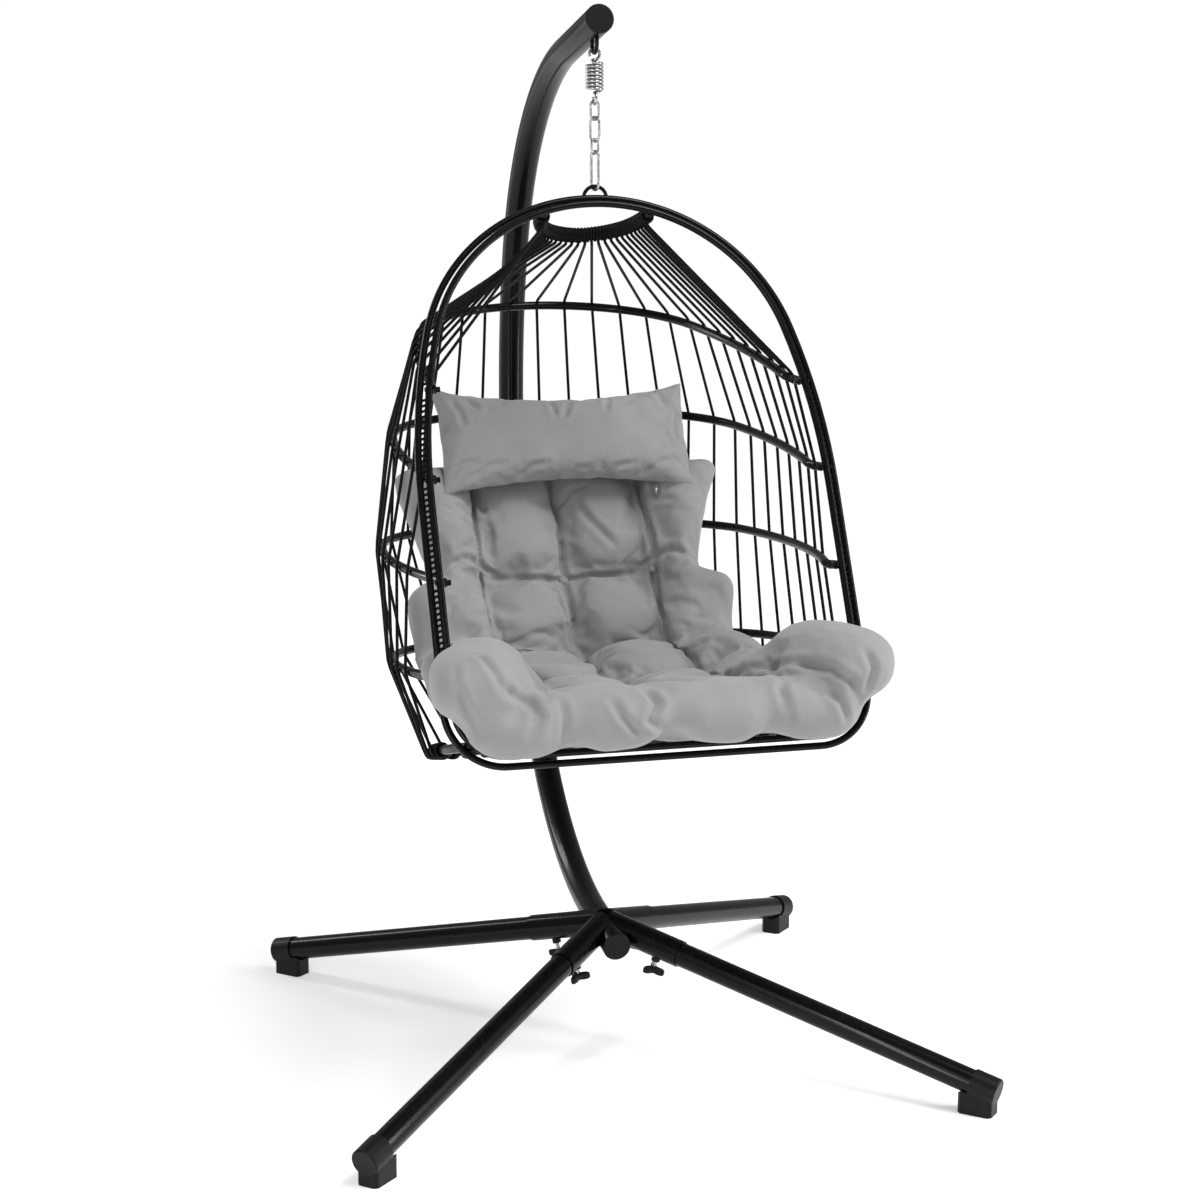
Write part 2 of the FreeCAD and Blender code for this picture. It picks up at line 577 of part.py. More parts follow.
def make_hanging_set(upper_solid):
    """Eye, spring, links and hooks; returns the height that the basket's ring hangs at."""
    column = upper_solid.common(Part.makeBox(2, 2, 3000, V(-1, HOOK_Y - 1, 0)))
    underside = column.BoundBox.ZMin
    radius = (EYE_BORE + EYE_WIRE) / 2
    eye = tube(chain(V(-radius, POLE_DIA / 2, 0), -90, [(POLE_DIA / 2, 0), (radius, 180), (POLE_DIA / 2, 0)]),
               EYE_WIRE, WIRE_SIDES)
    eye.rotate(V(0, 0, 0), X_AXIS, 90)
    eye.rotate(V(0, 0, 0), Z_AXIS, 90)
    eye.translate(V(0, HOOK_Y, underside - EYE_DROP))
    save("pole_eye", eye.cut(upper_solid))
    wire_z = underside - EYE_DROP - radius
    top = wire_z + (EYE_WIRE + SPRING_WIRE) / 2 + LINK_CLEARANCE
    edges, low = spring_path(top)
    print("spring wire, least gap to itself", round(least_gap(edges, SPRING_WIRE), 3))
    spring = tube(edges, SPRING_WIRE, SPRING_SIDES)
    spring.translate(V(0, HOOK_Y, 0))
    save("spring", spring)
    section = SPRING_SIDES / 2 * math.sin(2 * math.pi / SPRING_SIDES) * (SPRING_WIRE / 2) ** 2
    print("spring volume against section times length", round(spring.Volume), round(
        section * sum(e.Length for e in edges)))
    top = low + (SPRING_WIRE + LONG_LINK_WIRE) / 2 + LINK_CLEARANCE
    drop = LONG_LINK_LENGTH - LONG_LINK_WIRE
    link = tube(flat_loop(LONG_LINK_LENGTH, LONG_LINK_WIDTH, LONG_LINK_WIRE), LONG_LINK_WIRE, WIRE_SIDES)
    save("long_link", hung(link, top, drop, 0))
    print("spring's low point", round(low, 2), "forward swing about", round(top - drop, 2))
    print("sideways swing about", round(wire_z, 2))
    top = top - drop + (LONG_LINK_WIRE + CARABINER_WIRE) / 2 + LINK_CLEARANCE
    drop = CARABINER_LENGTH - CARABINER_WIRE
    for piece, name in zip(gated_link(CARABINER_LENGTH, CARABINER_WIDTH, CARABINER_WIRE), ("", "_gate", "_rivet")):
        save("carabiner" + name, hung(piece, top, drop, CARABINER_TURN))
    top = top - drop + (CARABINER_WIRE + CHAIN_WIRE) / 2 + LINK_CLEARANCE
    drop = CHAIN_LENGTH - CHAIN_WIRE
    link = tube(flat_loop(CHAIN_LENGTH, CHAIN_WIDTH, CHAIN_WIRE), CHAIN_WIRE, WIRE_SIDES)
    save("chain_link", hung(link, top, drop, CHAIN_TURN))
    top = top - drop + (CHAIN_WIRE + SNAP_WIRE) / 2 + LINK_CLEARANCE
    drop = SNAP_LENGTH - SNAP_WIRE
    for piece, name in zip(gated_link(SNAP_LENGTH, SNAP_WIDTH, SNAP_WIRE), ("", "_gate", "_rivet")):
        save("snap_hook" + name, hung(piece, top, drop, SNAP_TURN))
    return top - drop + (SNAP_WIRE + BASKET_RING_WIRE) / 2 + LINK_CLEARANCE


def hoop_edges(inset):
    """A hoop's centre line in the hoop's plane, its outline's top at the origin, drawn from its foot."""
    turn = math.radians(HOOP_TOP_TURN)
    top = HOOP_TOP_RADIUS - inset
    half = HOOP_HALF_WIDTH - inset
    corner = HOOP_CORNER_RADIUS - inset
    shoulder = (half - top * math.sin(turn)) / (1 - math.sin(turn))
    side = HOOP_HEIGHT - 2 * inset - corner - shoulder * math.cos(turn) - top * (1 - math.cos(turn))
    rest = 90 - HOOP_TOP_TURN
    foot_z = -(HOOP_HEIGHT - inset)
    return chain(V(0, foot_z, 0), 0, [
        (half - corner, 0), (corner, 90), (side, 0), (shoulder, rest), (top, HOOP_TOP_TURN),
        (top, HOOP_TOP_TURN), (shoulder, rest), (side, 0), (corner, 90), (half - corner, 0)])


def hoop_half_width(level, inset):
    """Half a hoop's width at a level down from its top, for a centre line inset that much."""
    ray = Part.makeLine(V(1, -level, 0), V(HOOP_HALF_WIDTH * 2, -level, 0))
    reach = 0.0
    for edge in hoop_edges(inset):
        distance, pairs, info = edge.distToShape(ray)
        if distance < 1e-6:
            reach = max(reach, max(pair[0].x for pair in pairs))
    return reach


class Bow:
    """A bowed tube of the cage in its own tilted plane, where X is across and Y runs back."""

    def __init__(self, hoop, end_x, start, shape):
        level, tilt, depth = shape["level"], shape["tilt"], shape["depth"]
        flare, side, corner, bend_radius = shape["flare"], shape["side"], shape["corner"], shape["radius"]
        first = math.radians(90 - flare)
        second = math.radians(90 + side)
        third = math.radians(90 + side + corner)
        a = math.sin(second) - math.sin(first)
        b = -math.sin(third)
        c = math.cos(first) - math.cos(second)
        d = math.cos(third) + 1
        across = -end_x - bend_radius * (math.sin(third) - math.sin(second))
        back = depth - start - bend_radius * (math.cos(second) - math.cos(third))
        det = a * d - b * c
        side_radius = (across * d - b * back) / det
        back_radius = (a * back - c * across) / det
        rest = 90 - side - corner
        self.edges = chain(V(end_x, start, 0), 90 - flare, [
            (side_radius, flare + side), (bend_radius, corner), (back_radius, rest),
            (back_radius, rest), (bend_radius, corner), (side_radius, flare + side)])
        at = hoop.multVec(V(0, -level, 0))
        self.frame = FreeCAD.Placement(at, FreeCAD.Rotation(X_AXIS, tilt))
        self.length = sum(e.Length for e in self.edges)

    def placed(self, shape):
        out = shape.copy()
        out.Placement = self.frame.multiply(out.Placement)
        return out

    def at(self, run, out=0.0, down=0.0):
        """A point that far along from the middle, out from the tube, and the tube's direction there."""
        left = self.length / 2 + run
        for edge in self.edges:
            if left <= edge.Length or edge is self.edges[-1]:
                break
            left -= edge.Length
        param = edge.FirstParameter + (edge.LastParameter - edge.FirstParameter) * left / edge.Length
        point = edge.valueAt(param)
        ahead = edge.tangentAt(param)
        point = point + V(ahead.y, -ahead.x, 0) * out - Z_AXIS * down
        return self.frame.multVec(point), self.frame.Rotation.multVec(ahead)


def bar_through(points, diameter):
    """A taut cord through points, mitred where it turns."""
    path = Part.Wire([Part.makeLine(a, b) for a, b in zip(points, points[1:])])
    section = facets(diameter, CORD_SIDES, points[0], points[1] - points[0])
    return path.makePipeShell([section], True, False, 1)


def eased(points, crossings, reach):
    """The cord's points, each moved out until both runs that meet there clear the tube by as much."""
    points = list(points)
    for settling in range(3):
        for i, (middle, ahead, out) in enumerate(crossings, 1):
            sides = []
            for run in (points[i] - points[i - 1], points[i + 1] - points[i]):
                side = run.cross(ahead)
                side.normalize()
                sides.append(side if side.dot(out) > 0 else side * -1.0)
            both = sides[0] + sides[1]
            both.normalize()
            points[i] = middle + both * (reach / both.dot(sides[0]))
    return points


def knot(at, along, bore, diameter=KNOT_DIA, length=KNOT_LENGTH):
    """Cord wound round a tube: a six-sided ring."""
    start = at - along * (length / 2)
    outer = prism(diameter, KNOT_SIDES, start, along * length)
    inner = prism(bore / math.cos(math.pi / KNOT_SIDES), KNOT_SIDES, start, along * length)
    return outer.cut(inner)


def make_basket(ring_top):
    """Ring, hoops, lacing, band, ribs, seat ring and cords."""
    hoop_top = ring_top - (BASKET_RING_WIDTH - BASKET_RING_WIRE) / 2
    lean = FreeCAD.Rotation(X_AXIS, 90 - HOOP_LEAN)
    hoop = FreeCAD.Placement(V(0, HOOK_Y, hoop_top) + lean.multVec(V(0, HOOP_TUBE / 2, 0)), lean)
    outer_inset = HOOP_TUBE / 2
    inner_inset = outer_inset + HOOP_SPACING
    outer = tube(hoop_edges(outer_inset), HOOP_TUBE, HOOP_SIDES)
    inner = tube(hoop_edges(inner_inset), HOOP_TUBE, HOOP_SIDES)
    hoop_room = tube(hoop_edges(inner_inset), HOOP_TUBE + 2 * LINK_CLEARANCE, HOOP_SIDES)
    inner.translate(Z_AXIS * HOOP_STAGGER)
    hoop_room.translate(Z_AXIS * HOOP_STAGGER)
    for piece in (outer, inner, hoop_room):
        piece.Placement = hoop.multiply(piece.Placement)
    radius = (BASKET_RING_WIDTH - BASKET_RING_WIRE) / 2
    ring = tube(chain(V(radius, 0, 0), 90, [(radius, 180)]), BASKET_RING_WIRE, WIRE_SIDES)
    ring.rotate(V(0, 0, 0), X_AXIS, 90)
    ring.translate(V(0, HOOK_Y, hoop_top))
    save("basket_ring", ring.cut(outer).cut(inner))

    laces = []
    level = LACE_START
    reach = math.hypot(HOOP_SPACING, HOOP_STAGGER)
    length = reach - HOOP_TUBE - 3 * LINK_CLEARANCE
    tilt = math.degrees(math.atan2(HOOP_STAGGER, HOOP_SPACING))
    bolt_room = (LACE_WIDTH + BOLT_HEAD_DIA) / 2 + 1.0
    while level < HOOP_HEIGHT - HOOP_CORNER_RADIUS:
        if any(abs(level - shape["level"]) < bolt_room for shape in RIBS.values()):
            level += LACE_PITCH
            continue
        start_x = hoop_half_width(level, outer_inset)
        tie = Part.makeBox(length, LACE_WIDTH, LACE_THICKNESS,
                           V(-length / 2 - reach / 2, -LACE_WIDTH / 2, -LACE_THICKNESS / 2))
        tie.rotate(V(0, 0, 0), Y_AXIS, tilt)
        tie.translate(V(start_x, -level, 0))
        laces += [tie, mirrored(tie)]
        level += LACE_PITCH
    lacing = Part.makeCompound(laces)
    lacing.Placement = hoop.multiply(lacing.Placement)

    bows = {}
    corners = []
    bolts = []
    nuts = []
    holes = []
    for name, shape in RIBS.items():
        end_x = hoop_half_width(shape["level"], inner_inset) - HOOP_TUBE / 2 - RIB_TUBE / 2 - RIB_HOOP_GAP
        bow = Bow(hoop, end_x, RIB_START, shape)
        bows[name] = bow
        rib = bow.placed(tube(bow.edges, RIB_TUBE, RIB_SIDES))
        hole_at = hoop.multVec(V(hoop_half_width(shape["level"], inner_inset), -shape["level"], HOOP_STAGGER))
        tab_x = hole_at.x - HOOP_TUBE / 2 - 1.0 - TAB_THICKNESS
        heel = bow.frame.multVec(V(0, RIB_START + 10.0, 0))
        run = V(0, heel.y - hole_at.y, heel.z - hole_at.z)
        tab = Part.makeBox(TAB_THICKNESS, run.Length, TAB_WIDTH, V(0, 0, -TAB_WIDTH / 2))
        tab = tab.fuse(Part.makeCylinder(TAB_WIDTH / 2, TAB_THICKNESS, V(0, 0, 0), X_AXIS))
        tab.rotate(V(0, 0, 0), X_AXIS, math.degrees(math.atan2(run.z, run.y)))
        tab.translate(V(tab_x, hole_at.y, hole_at.z))
        hole = prism(BOLT_DIA + 2 * FIT_GAP, WIRE_SIDES, hole_at - X_AXIS * 30, X_AXIS * 60)
        holes += [hole, mirrored(hole)]
        corners.append(V(tab_x - NUT_HEIGHT, hole_at.y, hole_at.z))
        rib = rib.fuse(tab).fuse(mirrored(tab)).cut(hole).cut(mirrored(hole)).cut(hoop_room)
        save(name, rib)
        shank_x = tab_x - NUT_HEIGHT + 2.0
        head_x = hole_at.x + HOOP_TUBE / 2
        shank = prism(BOLT_DIA, WIRE_SIDES, V(shank_x, hole_at.y, hole_at.z), X_AXIS * (head_x - shank_x))
        head = prism(BOLT_HEAD_DIA, WIRE_SIDES, V(head_x, hole_at.y, hole_at.z), X_AXIS * BOLT_HEAD_HEIGHT)
        bolt = shank.fuse(head.cut(hoop_room))
        bolts += [bolt, mirrored(bolt)]
        nut = prism(NUT_DIA, 6, V(tab_x, hole_at.y, hole_at.z), X_AXIS * -NUT_HEIGHT).cut(bolt)
        nuts += [nut, mirrored(nut)]
    for hole in holes:
        inner = inner.cut(hole)
    save("outer_hoop", outer)
    save("inner_hoop", inner)
    save("hoop_lacing", lacing)
    save("rib_bolts", Part.makeCompound(bolts))
    save("rib_nuts", Part.makeCompound(nuts))
    inner_solid = inner

    band = Bow(hoop, hoop_half_width(BAND["level"], inner_inset), 0.0, BAND)
    bows["band"] = band
    save("top_band", band.placed(tube(band.edges, BAND_TUBE, RIB_SIDES)).cut(outer).cut(inner_solid))
    seat = Bow(hoop, hoop_half_width(SEAT_RING["level"], inner_inset), 0.0, SEAT_RING)
    bows["seat"] = seat
    save("seat_ring", seat.placed(tube(seat.edges, RIB_TUBE, RIB_SIDES)).cut(outer).cut(inner_solid))

    cords = {"left_cords": [], "back_cords": [], "right_cords": []}
    band_knots = []
    seat_knots = []
    clear = CORD_DIA / 2 + CORD_GAP
    for i in range(CORD_COUNT):
        place = (CORD_COUNT - 1) / 2 - i
        points = []
        top_at, top_ahead = band.at(place * BAND_CORD_PITCH)
        band_knots.append(knot(top_at, top_ahead, BAND_TUBE + 2 * KNOT_ROOM, KNOT_DIA, BAND_KNOT_LENGTH))
        points.append(band.at(place * BAND_CORD_PITCH, 0.0, KNOT_DIA / 2 + clear)[0])
        crossings = []
        for name in RIBS:
            middle, ahead = bows[name].at(place * RIB_CORD_PITCH[name])
            over = bows[name].at(place * RIB_CORD_PITCH[name], RIB_TUBE / 2 + clear)[0]
            crossings.append((middle, ahead, over - middle))
            points.append(over)
        low_at, low_ahead = seat.at(place * SEAT_RING_CORD_PITCH)
        seat_knots.append(knot(low_at, low_ahead, RIB_TUBE + 2 * KNOT_ROOM))
        points.append(seat.at(place * SEAT_RING_CORD_PITCH, KNOT_DIA / 2 + clear)[0])
        side = "back_cords" if abs(place) < 5.5 else ("left_cords" if place > 0 else "right_cords")
        cords[side].append(bar_through(eased(points, crossings, RIB_TUBE / 2 + clear), CORD_DIA))
    bar = hoop.multVec(V(0, -(HOOP_HEIGHT - inner_inset), HOOP_STAGGER))
    seat_cords = []
    ring_room = seat.placed(tube(seat.edges, RIB_TUBE + 2 * LINK_CLEARANCE, RIB_SIDES))
    for i in range(SEAT_CORDS):
        place = (SEAT_CORDS - 1) / 2 - i
        end = seat.at(place * SEAT_RING_CORD_PITCH, -RIB_TUBE / 4)[0]
        ahead = end - V(end.x, bar.y, bar.z)
        ahead.normalize()
        front = V(end.x, bar.y, bar.z) + ahead * (HOOP_TUBE / 2 + CORD_GAP)
        seat_cords.append(bar_through([front, end], CORD_DIA).cut(ring_room))
    save("seat_cords", Part.makeCompound(seat_cords))
    save("top_band_knots", Part.makeCompound(band_knots))
    save("seat_ring_knots", Part.makeCompound(seat_knots))
    for name, group in cords.items():
        save(name, Part.makeCompound(group))
    return hoop, bows, corners


def shell_of(rings):
    """A closed solid through outlines of as many corners each."""
    faces = [Part.Face(Part.makePolygon(rings[0] + rings[0][:1])), Part.Face(Part.makePolygon(rings[-1] + rings[-1][:1]))]
    for low, high in zip(rings, rings[1:]):
        count = len(low)
        for i in range(count):
            j = (i + 1) % count
            faces.append(Part.Face(Part.makePolygon([low[i], low[j], high[j], low[i]])))
            faces.append(Part.Face(Part.makePolygon([low[i], high[j], high[i], low[i]])))
    return Part.makeSolid(Part.makeShell(faces)).removeSplitter()


def cell(width, height, depth, draw=0.0):
    """A stuffed cell about its middle, X across, Y up and Z out of its face, its sides drawn in."""
    rings = []
    for level, share in CELL_PROFILE:
        inset = CELL_EDGE * share
        half_x = width / 2 - inset
        half_y = height / 2 - inset
        corner = min(CELL_CORNER, 0.8 * half_x, 0.8 * half_y)
        outline = []
        for side_x, side_y in ((1, 1), (-1, 1), (-1, -1), (1, -1)):
            near_y = V(side_x * half_x, side_y * (half_y - corner), level * depth / 2)
            near_x = V(side_x * (half_x - corner), side_y * half_y, level * depth / 2)
            middle = V(0, side_y * (half_y - draw), level * depth / 2)
            pair = [near_y, near_x] if side_x == side_y else [near_x, near_y]
            if draw and side_x != side_y:
                outline += [pair[0], pair[1]]
            else:
                outline += pair
            if draw and side_x == side_y:
                outline.append(middle)
        rings.append(outline)
    return shell_of(rings)


def laid(shape, at, pitch, yaw=0.0, roll=0.0):
    """A cell rolled about its own up line, pitched back, turned and moved to its place."""
    turn = FreeCAD.Rotation(Z_AXIS, yaw) * FreeCAD.Rotation(X_AXIS, pitch) * FreeCAD.Rotation(Y_AXIS, roll)
    out = shape.copy()
    out.Placement = FreeCAD.Placement(at, turn)
    return out


def sewn(width, height, depth, at, pitch, yaw=0.0, roll=0.0):
    """A cell with the flatter core that joins it to its neighbours under the seams."""
    core = Part.makeBox(width, height, depth * CORE_SHARE, V(-width / 2, -height / 2, -depth * CORE_SHARE / 2))
    return [laid(cell(width, height, depth), at, pitch, yaw, roll), laid(core, at, pitch, yaw, roll)]


def make_cushions(hoop, bows, corners):
    """The tufted seat and back in one, its buttons, and the head pillow with its ties and zip pull."""
    cells = []
    buttons = []
    lean = math.radians(BACK_LEAN)
    up = V(0, math.sin(lean), math.cos(lean))
    face = V(0, -math.cos(lean), math.sin(lean))
    wrap = math.radians(BACK_WRAP)
    for column in range(COLUMNS):
        place = column - (COLUMNS - 1) / 2
        side = math.copysign(1.0, place)
        outer = abs(place) > 1
        x = CUSHION_SHIFT + place * COLUMN
        back = V(x, BACK_FOOT_Y, BACK_FOOT_Z)
        yaw = 0.0
        if outer:
            back = V(CUSHION_SHIFT + side * (COLUMN + SIDE_COLUMN / 2 * math.cos(wrap)),
                     BACK_FOOT_Y - SIDE_COLUMN / 2 * math.sin(wrap), BACK_FOOT_Z)
            yaw = -side * BACK_WRAP
        run = 0.0
        for row in BACK_ROWS:
            width = (SIDE_COLUMN if outer else COLUMN) + SEAM_LAP
            cells += sewn(width, row + SEAM_LAP, BACK_DEPTH, back + up * (run + row / 2), 90 - BACK_LEAN, yaw)
            run += row
        inward = V(-side * SEAT_SIDE_IN, 0, SEAT_SIDE_UP) if outer else V(0, 0, 0)
        roll = -side * SEAT_SIDE_ROLL if outer else 0.0
        seat_y = SEAT_REAR_Y
        pitch = 0.0
        seat_z = SEAT_TOP_Z - SEAT_DEPTH / 2
        for row in SEAT_ROWS:
            middle = V(x, seat_y - row / 2, seat_z) + inward
            cells += sewn(COLUMN + SEAM_LAP, row + SEAM_LAP, SEAT_DEPTH, middle, -pitch, 0.0, roll)
            seat_y -= row
            pitch = SEAT_PITCH
        cells.append(laid(cell(COLUMN * ROLL_SHARE + SEAM_LAP, ROLL_DEPTH, ROLL_HEIGHT),
                          V(CUSHION_SHIFT + place * COLUMN * ROLL_SHARE, ROLL_Y, SEAT_TOP_Z), 0.0))
    for side in (1, -1):
        cells.append(laid(cell(ARM_WIDTH, ARM_LENGTH, ARM_HEIGHT), V(side * ARM_X, ARM_Y, ARM_Z), 0.0))
    cushion = cells[0].multiFuse(cells[1:])
    room = []
    middle_inset = (HOOP_TUBE + HOOP_SPACING) / 2
    both = tube(hoop_edges(middle_inset), math.hypot(HOOP_SPACING, HOOP_STAGGER) + HOOP_TUBE + 2 * SOFT_GAP, HOOP_SIDES)
    both.translate(Z_AXIS * (HOOP_STAGGER / 2))
    both.Placement = hoop.multiply(both.Placement)
    room.append(both)
    for name in ("middle_rib", "lower_rib", "seat"):
        room.append(bows[name].placed(tube(bows[name].edges, RIB_TUBE + 2 * SOFT_GAP, RIB_SIDES)))
    for corner in corners[-1:]:
        pocket = prism(2 * (TAB_INSET + TAB_WIDTH), WIRE_SIDES, corner - X_AXIS * SOFT_GAP, X_AXIS * 3 * NUT_HEIGHT)
        room += [pocket, mirrored(pocket)]
    pillow_at = V(PILLOW_X, PILLOW_Y, PILLOW_Z)
    grown = [size + 2 * SOFT_GAP for size in (PILLOW_WIDTH, PILLOW_HEIGHT, PILLOW_DEPTH)]
    room.append(laid(cell(grown[0], grown[1], grown[2], PILLOW_DRAW), pillow_at, 90 - PILLOW_LEAN))
    for taken in room:
        cushion = cushion.cut(taken)
    save("seat_cushion", cushion)
    for seam in (0, 1):
        deep = V(CUSHION_SHIFT + seam * COLUMN, BACK_FOOT_Y, BACK_FOOT_Z) + up * BACK_ROWS[0]
        needle = Part.makeLine(deep, deep + face * 2 * BACK_DEPTH)
        stuffed = needle.common(cushion)
        seat = deep + face * max((corner.Point - deep).dot(face) for corner in stuffed.Vertexes)
        buttons.append(prism(BUTTON_DIA, WIRE_SIDES, seat, face * BUTTON_HEIGHT).cut(cushion))
    save("tuft_buttons", Part.makeCompound(buttons))
    pillow = laid(cell(PILLOW_WIDTH, PILLOW_HEIGHT, PILLOW_DEPTH, PILLOW_DRAW), pillow_at, 90 - PILLOW_LEAN)
    save("head_pillow", pillow)
    ties = []
    for side in (1, -1):
        at, ahead = bows["shoulder_rib"].at(side * (PILLOW_WIDTH / 2 + TIE_REACH))
        ties.append(knot(at, ahead, RIB_TUBE + 2 * FIT_GAP, TIE_DIA, TIE_LENGTH).cut(pillow))
    save("pillow_ties", Part.makeCompound(ties))
    pillow_up = V(0, math.sin(math.radians(PILLOW_LEAN)), math.cos(math.radians(PILLOW_LEAN)))
    inside = V(PULL_X, PILLOW_Y, PILLOW_Z)
    needle = Part.makeLine(inside, inside - pillow_up * PILLOW_HEIGHT).common(pillow)
    hem = min((corner.Point for corner in needle.Vertexes), key=lambda point: point.z)
    pull = Part.makeBox(PULL_WIDTH, PULL_THICKNESS, PULL_LENGTH,
                        hem - V(PULL_WIDTH / 2, PULL_THICKNESS / 2, PULL_LENGTH - PULL_LAP))
    save("zip_pull", pull.cut(pillow))


os.makedirs("parts", exist_ok=True)
lower_pole_solid, upper_pole_solid = make_pole()
make_legs(lower_pole_solid)
ring_height = make_hanging_set(upper_pole_solid)
hoop_frame, cage, rib_corners = make_basket(ring_height)
make_cushions(hoop_frame, cage, rib_corners)
write_out()
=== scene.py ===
"""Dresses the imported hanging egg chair: smooth tubes, wound cord, bent links, stuffed cushions, finishes."""
import math

import bpy
from mathutils import Matrix, Vector, noise
from mathutils.bvhtree import BVHTree
from mathutils.kdtree import KDTree


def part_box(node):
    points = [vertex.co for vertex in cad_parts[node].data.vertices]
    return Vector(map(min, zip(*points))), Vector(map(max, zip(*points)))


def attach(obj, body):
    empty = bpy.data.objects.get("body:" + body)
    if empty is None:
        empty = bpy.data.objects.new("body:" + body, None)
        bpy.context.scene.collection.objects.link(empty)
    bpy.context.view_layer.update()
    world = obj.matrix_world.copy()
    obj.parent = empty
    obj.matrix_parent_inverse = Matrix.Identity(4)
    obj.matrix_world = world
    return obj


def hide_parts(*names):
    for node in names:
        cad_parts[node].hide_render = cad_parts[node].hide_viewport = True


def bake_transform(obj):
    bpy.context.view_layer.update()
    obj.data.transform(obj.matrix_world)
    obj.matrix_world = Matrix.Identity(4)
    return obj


bl_info = {
    "name": "Hanging egg chair",
    "version": (1, 0, 0),
    "blender": (4, 5, 0),
    "location": "3D View > Sidebar > Egg Chair",
    "description": "Dresses the packed hanging egg chair with detailed pieces and finishes",
    "category": "Object",
}

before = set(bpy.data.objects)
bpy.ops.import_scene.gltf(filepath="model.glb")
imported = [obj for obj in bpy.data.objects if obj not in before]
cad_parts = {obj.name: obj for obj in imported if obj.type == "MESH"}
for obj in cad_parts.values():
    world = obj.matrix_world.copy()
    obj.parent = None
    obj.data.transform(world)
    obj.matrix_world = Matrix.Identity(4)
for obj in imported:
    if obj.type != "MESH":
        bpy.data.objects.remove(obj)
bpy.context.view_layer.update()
MM = 0.001
SHIFT = Vector((0.0, -111.786, 0.0))
X_AXIS = Vector((1, 0, 0))
Y_AXIS = Vector((0, 1, 0))
Z_AXIS = Vector((0, 0, 1))
CORNERS = ("front_right", "rear_right", "rear_left", "front_left")


# Lines that the tubes, wires and cords follow, in millimetres about the middle of the legs

class Route:
    """A flat line of straights and arcs in XY, walked by its length: (length, 0) or (radius, turn)."""

    def __init__(self, start, heading, moves, place=None):
        self.parts = []
        self.length = 0.0
        self.place = place or Matrix.Identity(4)
        at = Vector((start[0], start[1]))
        angle = math.radians(heading)
        for size, turn in moves:
            sweep = math.radians(turn)
            run = size * abs(sweep) if turn else size
            self.parts.append((self.length, run, at, angle, size, sweep))
            at, angle = self.walk(at, angle, size, sweep, 1.0)
            self.length += run

    @staticmethod
    def walk(at, angle, size, sweep, share):
        if not sweep:
            return at + Vector((math.cos(angle), math.sin(angle))) * size * share, angle
        side = math.copysign(1.0, sweep)
        centre = at + Vector((-math.sin(angle), math.cos(angle))) * size * side
        end = angle + sweep * share
        return centre - Vector((-math.sin(end), math.cos(end))) * size * side, end

    def at(self, run):
        """The point, the way ahead, the side way and the line's own up, that far along."""
        part = [p for p in self.parts if p[0] <= run + 1e-6][-1] if run > 0 else self.parts[0]
        point, angle = self.walk(part[2], part[3], part[4], part[5], (run - part[0]) / part[1])
        turn = self.place.to_3x3()
        ahead = turn @ Vector((math.cos(angle), math.sin(angle), 0))
        side = turn @ Vector((math.sin(angle), -math.cos(angle), 0))
        return self.place @ Vector((point.x, point.y, 0)), ahead, side, turn @ Z_AXIS

    def points(self, step=4.0, start=0.0, end=None):
        """Points along the line, closer together on the arcs than on the straights."""
        end = self.length if end is None else end
        stops = [start]
        for begin, run, _, _, _, sweep in self.parts:
            count = max(1, math.ceil(math.degrees(abs(sweep)) / step)) if sweep else 1
            places = [begin + run * i / count for i in range(count + 1)]
            stops += [place for place in places if start < place < end]
        stops.append(end)
        out = []
        for stop in stops:
            point = self.at(stop)[0]
            if not out or (point - out[-1]).length > 0.05:
                out.append(point)
        return out


POLE_DIA, LEG_DIA = 54.0, 46.0
POLE_START = (-79.0, 209.0)
POLE_HEADING = 7.0
POLE_MOVES = [(162.0, 0), (668.0, 38.7), (1071.0, 61.8), (586.0, 63.1), (247.0, 0)]
POLE_JOINT = 162.0 + 668.0 * math.radians(38.7) + 1071.0 * math.radians(61.8 * 0.45)
POLE_JOINT_GAP = 0.6
STAND_UP = Matrix(((0, 0, 1, 0), (1, 0, 0, 0), (0, 1, 0, 0), (0, 0, 0, 1)))
POLE = Route(POLE_START, POLE_HEADING, POLE_MOVES, STAND_UP)

LEG_ROOT_Z = 234.0
LEG_END = (800.0, 44.0)
SOCKET_WALL = 2.5
BOSS_HEIGHT = 8.0
KNOB_REACH = 118.0
KNOB_DROP = 13.0
KNOB_HUB, KNOB_LOBE = 8.3, 15.0
# Height up the knob's grip and how far its rim is drawn in there
KNOB_PROFILE = ((0.6, 3.4), (0, 1.6), (1.6, 0.2), (4.0, 0), (8.0, 0), (10.6, 0.8), (11.8, 3.0), (12.0, 6.0))

HOOK_Y = 62.0
EYE_Z = 1879.41
EYE_WIRE, EYE_RADIUS, EYE_LEG = 8.0, 17.0, 24.0
SPRING_WIRE, SPRING_LOW = 6.0, 1786.98
SPRING_LOOP, SPRING_RADIUS, SPRING_PITCH, SPRING_TURNS = 10.0, 14.0, 6.6, 7
LINK_GAP = 0.3
# Length, width and wire of what hangs below the spring, from the top
LINKS = {
    "long_link": (38.5, 20.0, 4.5),
    "carabiner": (50.0, 28.0, 5.0),
    "chain_link": (32.0, 22.0, 4.5),
    "snap_hook": (76.0, 24.0, 5.5),
}
LINK_TURNS = {"long_link": 0, "carabiner": -60, "chain_link": 30, "snap_hook": -60}
RING_WIDTH, RING_WIRE = 51.0, 7.0

